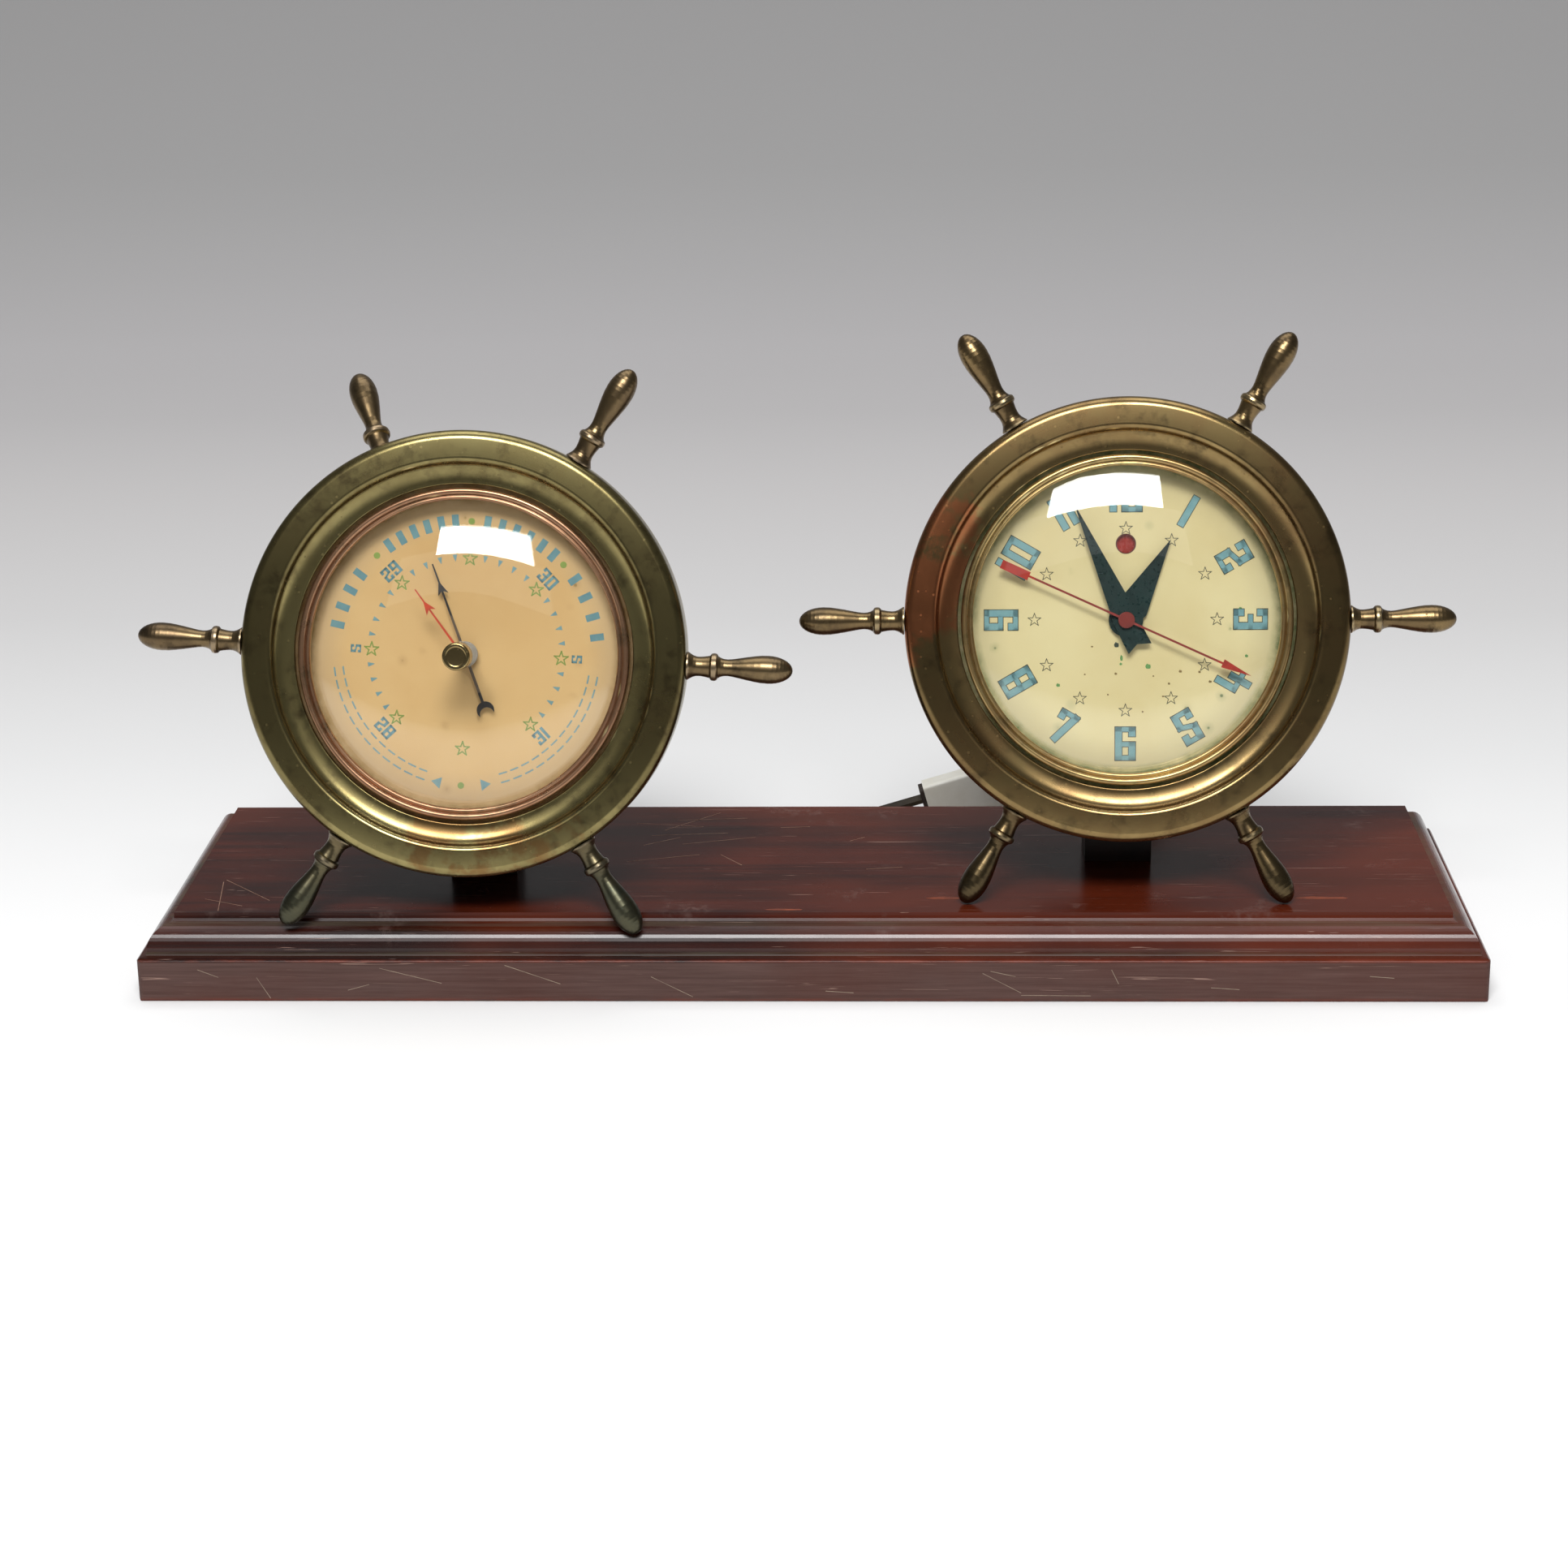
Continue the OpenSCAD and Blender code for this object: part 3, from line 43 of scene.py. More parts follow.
# Camera, solved from the photograph
CAMERA_PLACE = Vector((32.6, -1021.0, 392.5)) * MM
CAMERA_YAW = math.radians(-2.358)
CAMERA_PITCH = math.radians(18.41)
CAMERA_ROLL = math.radians(-0.852)
FRAME_PX = 1932
FOCAL_PX = 3980.2
SENSOR = 36.0
CLIP_END = 50


def make_camera():
    forward = Vector((
        math.sin(CAMERA_YAW) * math.cos(CAMERA_PITCH),
        math.cos(CAMERA_YAW) * math.cos(CAMERA_PITCH),
        -math.sin(CAMERA_PITCH),
    ))
    level_right = Vector((math.cos(CAMERA_YAW), -math.sin(CAMERA_YAW), 0))
    level_up = level_right.cross(forward)
    right = math.cos(CAMERA_ROLL) * level_right + math.sin(CAMERA_ROLL) * level_up
    up = right.cross(forward)
    data = bpy.data.cameras.new("camera")
    data.sensor_width = SENSOR
    data.lens = FOCAL_PX / FRAME_PX * SENSOR
    data.clip_end = CLIP_END
    camera = bpy.data.objects.new("camera", data)
    turn = Matrix((right, up, -forward)).transposed()
    camera.matrix_world = Matrix.Translation(CAMERA_PLACE) @ turn.to_4x4()
    bpy.context.scene.collection.objects.link(camera)
    bpy.context.scene.camera = camera


make_camera()

# Meshes


def new_object(name, data, body="frame"):
    thing = bpy.data.objects.new(name, data)
    bpy.context.scene.collection.objects.link(thing)
    if body:
        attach(thing, body)
    return thing


def soften(mesh, angle):
    """Smooth shading that keeps the edges sharper than the angle."""
    bm = bmesh.new()
    bm.from_mesh(mesh)
    for face in bm.faces:
        face.smooth = True
    for edge in bm.edges:
        edge.smooth = edge.is_manifold and edge.calc_face_angle() < math.radians(angle)
    bm.to_mesh(mesh)
    bm.free()


SHARP_ANGLE = 32


def mesh_from(name, points, faces, angle=SHARP_ANGLE):
    """A mesh with its normals turned outward and its sharp edges kept."""
    mesh = bpy.data.meshes.new(name)
    mesh.from_pydata([tuple(p) for p in points], [], faces)
    bm = bmesh.new()
    bm.from_mesh(mesh)
    bmesh.ops.recalc_face_normals(bm, faces=bm.faces)
    bm.to_mesh(mesh)
    bm.free()
    soften(mesh, angle)
    return mesh


def lathe(name, profile, place, segments, body="frame"):
    """A turned form: a closed line of (radius, height) points round the place's own Z."""
    points, faces = [], []
    rings = []
    for radius, height in profile:
        if radius == 0:
            rings.append([len(points)])
            points.append(place @ Vector((0, 0, height * MM)))
            continue
        ring = []
        for k in range(segments):
            turn = 2 * math.pi * k / segments
            ring.append(len(points))
            across, along = radius * math.cos(turn), radius * math.sin(turn)
            points.append(place @ (Vector((across, along, height)) * MM))
        rings.append(ring)
    for low, high in zip(rings, rings[1:] + [rings[0]]):
        for k in range(segments):
            j = (k + 1) % segments
            if len(low) == 1 and len(high) == 1:
                continue
            if len(low) == 1:
                faces.append((low[0], high[j], high[k]))
            elif len(high) == 1:
                faces.append((low[k], low[j], high[0]))
            else:
                faces.append((low[k], low[j], high[j], high[k]))
    return new_object(name, mesh_from(name, points, faces), body)


def arc(centre, radius, start, end, steps):
    """Points on an arc, with its angles in degrees."""
    turns = [math.radians(start + (end - start) * k / steps) for k in range(steps + 1)]
    return [(centre[0] + radius * math.cos(t), centre[1] + radius * math.sin(t)) for t in turns]


# Places of the two instruments: their own Z is the dial's normal
LEAN = math.radians(14)
CLOCK_AT = Vector((101.7, -23.2, 115.0415)) * MM
BAROMETER_AT = Vector((-108.9, -38.6, 108.8415)) * MM
BAROMETER_ROLL = math.radians(3.1)


def instrument(place, roll):
    normal = Vector((0, -math.cos(LEAN), math.sin(LEAN)))
    level = Vector((1, 0, 0))
    up = normal.cross(level)
    across = math.cos(roll) * level - math.sin(roll) * up
    turn = Matrix((across, normal.cross(across), normal)).transposed()
    return Matrix.Translation(place) @ turn.to_4x4()


CLOCK = instrument(CLOCK_AT, 0)
BAROMETER = instrument(BAROMETER_AT, BAROMETER_ROLL)

# Cord: the same route as the solid parts, drawn finer
CORD_D = 5.0
CORD_SIDES, CORD_STEPS, COIL_STEPS = 16, 4, 24
CORD_GUIDE_L = 5
CORD_SHARP_ANGLE = 40
COIL = {
    "x": 110, "y": 109, "inner": 15, "pitch": 5.6, "turns": 9.25, "floor": 3.4, "climb": 0.5,
}
NOSE_TIP = (0, -40, -73.2)
LEAD = [
    (104, 50, 55), (110, 58, 49.5), (120, 66, 42), (131, 73, 33.5), (140, 81, 24), (147, 90, 15.5),
]
TAIL = [
    (93.5, 95, 25.6), (98.8, 104, 24.8), (98.8, 115.5, 22.8), (94.5, 127, 20), (87.5, 137.5, 16.4),
    (81.6, 147, 12), (80.6, 154, 7.8), (85.4, 157.4, 4.8), (92, 155, 3.5), (98.5, 151.3, 3.4),
]
PLUG_X, PLUG_Y = 38.5, 88.4
PLUG_H, PLUG_FACE_T, PLUG_BODY_L = 24, 1.6, 45
BLADE_L, BLADE_T, BLADE_PITCH = 16, 1.4, 12.7
PLUG_TURN = math.radians(4)
PLUG_RISE = math.atan((PLUG_H - BLADE_PITCH - BLADE_T) / 2 / (BLADE_L + PLUG_FACE_T))


def coil_point(t):
    """A point of the two-layer coil after t turns."""
    turn = abs(t - COIL["turns"] / 2)
    radius = COIL["inner"] + COIL["pitch"] * turn
    angle = math.radians(90 - 360 * t)
    climb = max(0, min(1, 0.5 + (t - COIL["turns"] / 2) / COIL["climb"]))
    return Vector((
        COIL["x"] + radius * math.cos(angle),
        COIL["y"] + radius * math.sin(angle),
        COIL["floor"] + COIL["pitch"] * climb,
    ))


def smooth_line(points, steps):
    """Catmull-Rom line through all points but the first and the last."""
    line = []
    for k in range(1, len(points) - 2):
        a, b, c, d = points[k - 1:k + 3]
        for i in range(steps):
            t = i / steps
            line.append(0.5 * (2 * b + (c - a) * t + (2 * a - 5 * b + 4 * c - d) * t * t
                               + (3 * b - a - 3 * c + d) * t * t * t))
    line.append(points[-2])
    return line


def cord_line():
    """The cord's middle line in millimetres, from the bushing's nose to the plug."""
    start = CLOCK @ (Vector(NOSE_TIP) * MM) / MM
    back = (CLOCK.to_3x3() @ Vector((0, 0, -1))).normalized()
    coil = [coil_point(k / COIL_STEPS) for k in range(int(COIL["turns"] * COIL_STEPS) + 1)]
    end, begin = coil[-1], coil[0]
    level, rise = math.cos(PLUG_RISE), math.sin(PLUG_RISE)
    plug_way = Vector((level * math.cos(PLUG_TURN), level * math.sin(PLUG_TURN), rise))
    plug_z = PLUG_H / 2 * level - PLUG_FACE_T * rise
    tail_start = Vector((PLUG_X, PLUG_Y, plug_z)) + plug_way * PLUG_BODY_L
    points = [start - back * CORD_GUIDE_L, start, start + back * CORD_D]
    points += [Vector(p) for p in LEAD]
    points += [end - Vector((0, 2 * CORD_D, 0)), end - Vector((0, CORD_D, 0))]
    points += coil[::-1]
    points.append(begin - Vector((CORD_D, 0, 0)))
    points += [Vector(p) for p in TAIL[::-1]]
    points += [tail_start + plug_way * CORD_D, tail_start, tail_start - plug_way * CORD_GUIDE_L]
    return smooth_line(points, CORD_STEPS)


def tube(name, line, radius, sides):
    """A round tube along the line in millimetres, with its ends closed."""
    points, faces = [], []
    side = Vector((1, 0, 0))
    for k, at in enumerate(line):
        way = (line[min(k + 1, len(line) - 1)] - line[max(k - 1, 0)]).normalized()
        side = (side - way * side.dot(way)).normalized()
        other = way.cross(side)
        for j in range(sides):
            turn = 2 * math.pi * j / sides
            points.append((at + radius * (math.cos(turn) * side + math.sin(turn) * other)) * MM)
    for k in range(len(line) - 1):
        here, there = k * sides, (k + 1) * sides
        for j in range(sides):
            i = (j + 1) % sides
            faces.append((here + j, here + i, there + i, there + j))
    faces.append(tuple(range(sides)))
    faces.append(tuple(range((len(line) - 1) * sides, len(line) * sides)))
    return new_object(name, mesh_from(name, points, faces, CORD_SHARP_ANGLE))


route = cord_line()
cord = tube("cord", route, CORD_D / 2, CORD_SIDES)
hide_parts("cord_lead", "cord_coil", "cord_tail")

# Finishes


class Finish:
    """A material and short ways to wire its nodes."""

    def __init__(self, name):
        self.material = bpy.data.materials.new(name)
        self.material.use_nodes = True
        self.tree = self.material.node_tree
        self.shader = self.tree.nodes["Principled BSDF"]
        self.place = self.node("ShaderNodeTexCoord").outputs["Object"]

    def node(self, kind, **settings):
        made = self.tree.nodes.new(kind)
        for key, value in settings.items():
            setattr(made, key, value)
        return made

    def link(self, source, socket):
        if isinstance(source, bpy.types.NodeSocket):
            self.tree.links.new(source, socket)
        else:
            socket.default_value = source

    def set(self, **values):
        for key, value in values.items():
            self.link(value, self.shader.inputs[key.replace("_", " ")])

    def math(self, operation, a, b=0.0, c=None, clamp=False):
        made = self.node("ShaderNodeMath", operation=operation, use_clamp=clamp)
        self.link(a, made.inputs[0])
        self.link(b, made.inputs[1])
        if c is not None:
            self.link(c, made.inputs[2])
        return made.outputs[0]

    def noise(self, scale, detail=4.0, rough=0.55, stretch=(1, 1, 1), twist=0.0):
        mapping = self.node("ShaderNodeMapping")
        self.link(self.place, mapping.inputs["Vector"])
        mapping.inputs["Scale"].default_value = stretch
        made = self.node("ShaderNodeTexNoise")
        self.link(mapping.outputs[0], made.inputs["Vector"])
        made.inputs["Scale"].default_value = scale
        made.inputs["Detail"].default_value = detail
        made.inputs["Roughness"].default_value = rough
        made.inputs["Distortion"].default_value = twist
        return made.outputs[0]

    def cells(self, scale):
        made = self.node("ShaderNodeTexVoronoi")
        self.link(self.place, made.inputs["Vector"])
        made.inputs["Scale"].default_value = scale
        return made.outputs["Distance"]

    def spread(self, value, low, high, to_low=0.0, to_high=1.0):
        made = self.node("ShaderNodeMapRange", clamp=True)
        self.link(value, made.inputs["Value"])
        ends = (("From Min", low), ("From Max", high), ("To Min", to_low), ("To Max", to_high))
        for key, number in ends:
            self.link(number, made.inputs[key])
        return made.outputs["Result"]

    def near(self, value, at, full, none):
        """1 within full of a number, 0 farther from it than none."""
        away = self.math("ABSOLUTE", self.math("SUBTRACT", value, at))
        return self.spread(away, full, none, 1, 0)

    def mix(self, share, a, b):
        made = self.node("ShaderNodeMix", data_type="RGBA")
        self.link(share, made.inputs[0])
        for value, socket in ((a, made.inputs[6]), (b, made.inputs[7])):
            self.link(colour(value) if isinstance(value, str) else value, socket)
        return made.outputs[2]

    def bump(self, height, strength, distance):
        made = self.node("ShaderNodeBump")
        self.link(height, made.inputs["Height"])
        made.inputs["Strength"].default_value = strength
        made.inputs["Distance"].default_value = distance * MM
        self.tree.links.new(made.outputs[0], self.shader.inputs["Normal"])

    def axis(self, letter):
        """The object's own X, Y or Z in metres."""
        parts = self.node("ShaderNodeSeparateXYZ")
        self.link(self.place, parts.inputs[0])
        return parts.outputs[letter]

    def inside(self, matrix):
        """X, Y and the distance from the middle on a dial, in millimetres."""
        found = []
        for row in list(matrix.inverted())[:2]:
            dot = self.node("ShaderNodeVectorMath", operation="DOT_PRODUCT")
            self.link(self.place, dot.inputs[0])
            dot.inputs[1].default_value = (row[0], row[1], row[2])
            found.append(self.math("MULTIPLY_ADD", dot.outputs["Value"], 1 / MM, row[3] / MM))
        squares = [self.math("POWER", value, 2.0) for value in found]
        return found[0], found[1], self.math("SQRT", self.math("ADD", *squares))


def colour(code):
    """Linear colour of an sRGB hex code."""
    parts = [int(code[k:k + 2], 16) / 255 for k in (0, 2, 4)]
    linear = [((c + 0.055) / 1.055) ** 2.4 if c > 0.04045 else c / 12.92 for c in parts]
    return (*linear, 1.0)


# Floor and backdrop: one sweep with painted light falloff, white at the object and greyer behind
# it, and painted shade that darkens it far in front
FLOOR_HALF_WIDTH, FLOOR_FRONT, FLOOR_BACK = 3.2, -2.2, 1.75
FLOOR_LINES = (-0.6, 0.5)
SWEEP_R, SWEEP_TOP, SWEEP_STEPS = 0.9, 3.4, 16
FLOOR_FALLOFF_FROM_TO = (-0.2, 1.8)
FLOOR_FALLOFF_GREYS = [
    (0.0, "F6F6F6"), (0.1, "EEEEEE"), (0.2, "DCDCDC"), (0.3, "CCCBCB"), (0.42, "C2C0C0"),
    (0.6, "B0AEAF"), (0.72, "9A9999"), (0.85, "8E8D8D"), (1.0, "848383"),
]
FLOOR_FRONT_SHADE = "4A4A4A"
FLOOR_FRONT_SHADE_FROM_TO = (-1.3, -0.44)


def make_sweep():
    bend = FLOOR_BACK - SWEEP_R
    line = [(y, 0.0) for y in (FLOOR_FRONT, *FLOOR_LINES, bend)]
    for k in range(1, SWEEP_STEPS + 1):
        t = math.pi / 2 * k / SWEEP_STEPS
        line.append((bend + SWEEP_R * math.sin(t), SWEEP_R - SWEEP_R * math.cos(t)))
    line.append((FLOOR_BACK, SWEEP_TOP))
    points = [(x, y, z) for y, z in line for x in (-FLOOR_HALF_WIDTH, FLOOR_HALF_WIDTH)]
    faces = [(2 * k, 2 * k + 1, 2 * k + 3, 2 * k + 2) for k in range(len(line) - 1)]
    mesh = bpy.data.meshes.new("floor_sweep")
    mesh.from_pydata(points, [], faces)
    for face in mesh.polygons:
        face.use_smooth = True
    sweep = new_object("floor_sweep", mesh, None)
    finish = Finish("floor_sweep")
    # Painted light falloff: the floor greys from white at the object to darker grey behind it
    behind = finish.axis("Y")
    ramp = finish.node("ShaderNodeValToRGB")
    finish.link(finish.spread(behind, *FLOOR_FALLOFF_FROM_TO), ramp.inputs[0])
    stops = ramp.color_ramp.elements
    stops[0].color = colour(FLOOR_FALLOFF_GREYS[0][1])
    stops[1].color = colour(FLOOR_FALLOFF_GREYS[-1][1])
    for at, code in FLOOR_FALLOFF_GREYS[1:-1]:
        stops.new(at).color = colour(code)
    # Painted shade: the floor darkens far in front of the object
    near = finish.spread(behind, *FLOOR_FRONT_SHADE_FROM_TO)
    painted_floor_light = finish.mix(near, FLOOR_FRONT_SHADE, ramp.outputs[0])
    finish.set(Base_Color=painted_floor_light, Roughness=0.75, Specular_IOR_Level=0.15)
    sweep.data.materials.append(finish.material)


make_sweep()

LIGHT_AIM = Vector((0, 0, 0.1))


def area_light(name, azimuth, elevation, distance, size, power):
    """A soft panel at an azimuth (0 in front, + to the right) and elevation from the object."""
    a, e = math.radians(azimuth), math.radians(elevation)
    way = Vector((math.sin(a) * math.cos(e), -math.cos(a) * math.cos(e), math.sin(e)))
    data = bpy.data.lights.new(name, "AREA")
    data.shape = "RECTANGLE"
    data.size, data.size_y = size
    data.energy = power
    lamp = bpy.data.objects.new(name, data)
    lamp.location = LIGHT_AIM + way * distance
    lamp.rotation_mode = "QUATERNION"
    lamp.rotation_quaternion = way.to_track_quat("Z", "Y")
    lamp.visible_camera = False
    bpy.context.scene.collection.objects.link(lamp)


area_light("softbox", -1.6, 49, 4.0, (2.15, 1.1), 165)
area_light("glow", -6, 33, 4.0, (3.4, 1.3), 6)
area_light("overhead", 180, 76, 2.6, (2.6, 1.6), 31)


WORLD_COLOUR, WORLD_STRENGTH = (0.9, 0.95, 1.0, 1), 0.09


def make_world():
    world = bpy.data.worlds.new("room")
    bpy.context.scene.world = world
    world.use_nodes = True
    shade = world.node_tree.nodes["Background"]
    shade.inputs["Color"].default_value = WORLD_COLOUR
    shade.inputs["Strength"].default_value = WORLD_STRENGTH


make_world()
bpy.context.scene.view_settings.view_transform = "Standard"


# Turned pieces, finer than the solids: rims, bezels, crystals and the barometer's knob.
# Outlines are (radius, height) in millimetres; height 0 is the wheel's middle plane.
TURNED_SEGMENTS, HUB_SEGMENTS = 256, 96
RIM_R, HOLE_R, RIM_BACK, RIM_WALL = 70.9, 53.9, -7.0, 1.2
SHOULDER_R, SHOULDER_Z = 3.3, 2.45
FILLET_AT, FILLET_R = (62.4, 4.31), 1.9
LIP_AT, LIP_R = (54.35, 1.5), 0.45
RIM_GROOVE = [(0, -0.6), (0.28, -0.45), (0.28, -0.15), (0, 0.0)]
RIM_COVE = [
    (60.38, 4.3), (60.05, 3.8), (59.4, 3.25), (58.4, 2.75), (57.3, 2.38), (56.2, 2.12),
    (55.3, 1.97), (54.8, 1.95),
]
RIM_INSIDE = [(60.0, 2.4), (62.5, 3.3), (62.9, 4.4), (67.2, 3.6), (69.3, 1.8), (69.7, RIM_BACK)]
BEZEL_R, BEZEL_BACK = 52.8, -1.9
BEZEL_ROLL_R, BEZEL_ROLL_Z = 1.15, 2.1
BEZEL_GROOVE = [(50.62, 2.42), (50.5, 2.2)]
BEZEL_BEAD_AT, BEZEL_BEAD_R = (49.75, 1.75), 0.72
GLASS_R, GLASS_T, GLASS_SEAT, GLASS_RINGS = 49.4, 1.6, -1.55, 40
CLOCK_RISE, BAROMETER_RISE, SHAFT_HOLE_R = 7.0, 9.6, 1.55
KNOB_GAP, KNOB_L, KNOB_NECK_L = 0.3, 9.8, 2.6
KNOB_R, KNOB_NECK_R, KNOB_ROUND, KNOB_TOP_ROUND = 4.4, 2.9, 0.5, 0.7
KNOB_DISH = [(1.1, 0.05), (1.3, 0.22), (1.6, 0.28)]
KNOB_MIDDLE_DEPTH = 0.2


def rim_profile():
    """A coned band between a rounded shoulder and the fillet that rolls into the cove."""
    outside = [(RIM_R, RIM_BACK)] + [(RIM_R - depth, z) for depth, z in RIM_GROOVE]
    outside += arc((RIM_R - SHOULDER_R, SHOULDER_Z), SHOULDER_R, 0, 85, 18)
    outside += arc(FILLET_AT, FILLET_R, 85, 168, 14)
    outside += RIM_COVE + arc(LIP_AT, LIP_R, 90, 180, 6)
    return outside + [(HOLE_R, 0.8), (HOLE_R, 0.2), (HOLE_R + RIM_WALL, 0.3)] + RIM_INSIDE


def bezel_profile():
    """A rolled brass ring with a small second roll that holds the crystal."""
    front = [(BEZEL_R, BEZEL_BACK)]
    front += arc((BEZEL_R - BEZEL_ROLL_R, BEZEL_ROLL_Z), BEZEL_ROLL_R, 0, 150, 14)
    front += BEZEL_GROOVE + arc(BEZEL_BEAD_AT, BEZEL_BEAD_R, 45, 172, 8)
    front += [(GLASS_R - 0.45, 1.0), (GLASS_R - 0.2, 0.75), (GLASS_R + 0.1, 0.75)]
    return front + [(GLASS_R + 0.1, BEZEL_BACK)]


def crystal_profile(rise, hole):
    """A domed glass, flat in the middle and steepest at its edge."""
    outer = []
    for k in range(GLASS_RINGS + 1):
        r = GLASS_R - (GLASS_R - hole) * (k / GLASS_RINGS) ** 1.5
        outer.append((r, GLASS_SEAT + GLASS_T + rise * (1 - (r / GLASS_R) ** 3)))
    return outer + [(r, z - GLASS_T) for r, z in outer[::-1]]


def knob_profile():
    """A neck, a head with rounded edges and a dished top."""
    low = GLASS_SEAT + GLASS_T + BAROMETER_RISE + KNOB_GAP
    head, top = low + KNOB_NECK_L, low + KNOB_L
    line = [(0, low), (KNOB_NECK_R, low), (KNOB_NECK_R, head)]
    line += arc((KNOB_R - KNOB_ROUND, head + KNOB_ROUND), KNOB_ROUND, 270, 360, 5)
    line += arc((KNOB_R - KNOB_TOP_ROUND, top - KNOB_TOP_ROUND), KNOB_TOP_ROUND, 0, 80, 8)
    line += [(KNOB_R - inward, top - depth) for inward, depth in KNOB_DISH]
    return line + [(0, top - KNOB_MIDDLE_DEPTH)]


def turn_up(node, profile, place, body="frame"):
    """A turned piece that takes the solid's place."""
    made = lathe(node + "_turned", profile, place, TURNED_SEGMENTS, body)
    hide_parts(node)


WHEELS = (("clock", CLOCK, CLOCK_RISE, 0), ("barometer", BAROMETER, BAROMETER_RISE, SHAFT_HOLE_R))
for wheel, place, rise, hole in WHEELS:
    turn_up(wheel + "_rim", rim_profile(), place)
    turn_up(wheel + "_glass_bezel", bezel_profile(), place)
    turn_up(wheel + "_crystal", crystal_profile(rise, hole), place)
turn_up("barometer_set_knob", knob_profile(), BAROMETER, "set_arbor")


# Barbs and hub of the barometer's hands, over the solid hands
def slab(name, outline, place, low, high, body):
    """A flat plate between two heights."""
    count = len(outline)
    points = [place @ (Vector((x, y, z)) * MM) for z in (low, high) for x, y in outline]
    faces = [tuple(range(count)), tuple(range(count, 2 * count))]
    for k in range(count):
        after = (k + 1) % count
        faces.append((k, after, count + after, count + k))
    new_object(name, mesh_from(name, points, faces), body)


def on_circle(radius, angle):
    """The point at a clock angle in degrees."""
    a = math.radians(angle)
    return (radius * math.sin(a), radius * math.cos(a))


def moved(points, by):
    return [(x + by[0], y + by[1]) for x, y in points]


def turned(points, angle, radius, up=True):
    """Points round (0, 0) carried to a clock angle and radius, their tops outward or inward."""
    s, c = on_circle(1 if up else -1, angle)
    return moved([(x * c + y * s, y * c - x * s) for x, y in points], on_circle(radius, angle))


BARB, BARB_T = [(0, 2.8), (1.75, -1.7), (0, -0.5), (-1.75, -1.7)], 0.16
POINTER_ANGLE, POINTER_BARB_R, POINTER_TOP = -22.5, 21.8, -2.28
SET_ANGLE, SET_BARB_R, SET_TOP = -38.6, 18.3, 4.22
POINTER_HUB = [
    (0, POINTER_TOP), (4.1, POINTER_TOP), (4.1, -1.95), (3.9, -1.8), (2.2, -1.8), (2.0, -1.5),
    (0, -1.5),
]
slab("pointer_barb", turned(BARB, POINTER_ANGLE, POINTER_BARB_R), BAROMETER, POINTER_TOP,
     POINTER_TOP + BARB_T, "pressure_arbor")
slab("set_hand_barb", turned(BARB, SET_ANGLE, SET_BARB_R), BAROMETER, SET_TOP, SET_TOP + BARB_T,
     "set_arbor")
lathe("pointer_hub", POINTER_HUB, BAROMETER, HUB_SEGMENTS, "pressure_arbor")

# Materials for the solids' own slots


def paint(finish, *names):
    """Give the finish to solids or to pieces of this script."""
    for name in names:
        thing = NODES.get(name) or bpy.data.objects.get(name)
        thing.data.materials.clear()
        thing.data.materials.append(finish.material)
        for face in thing.data.polygons:
            face.material_index = 0


# Heights on the base in millimetres: its upright face, ledge, moulding and quirk
FACE_TOP, LEDGE_Z, MOULDING_LOW, MOULDING_HIGH, QUIRK_Z = 13.9, 15.4, 16.6, 22.6, 23.4


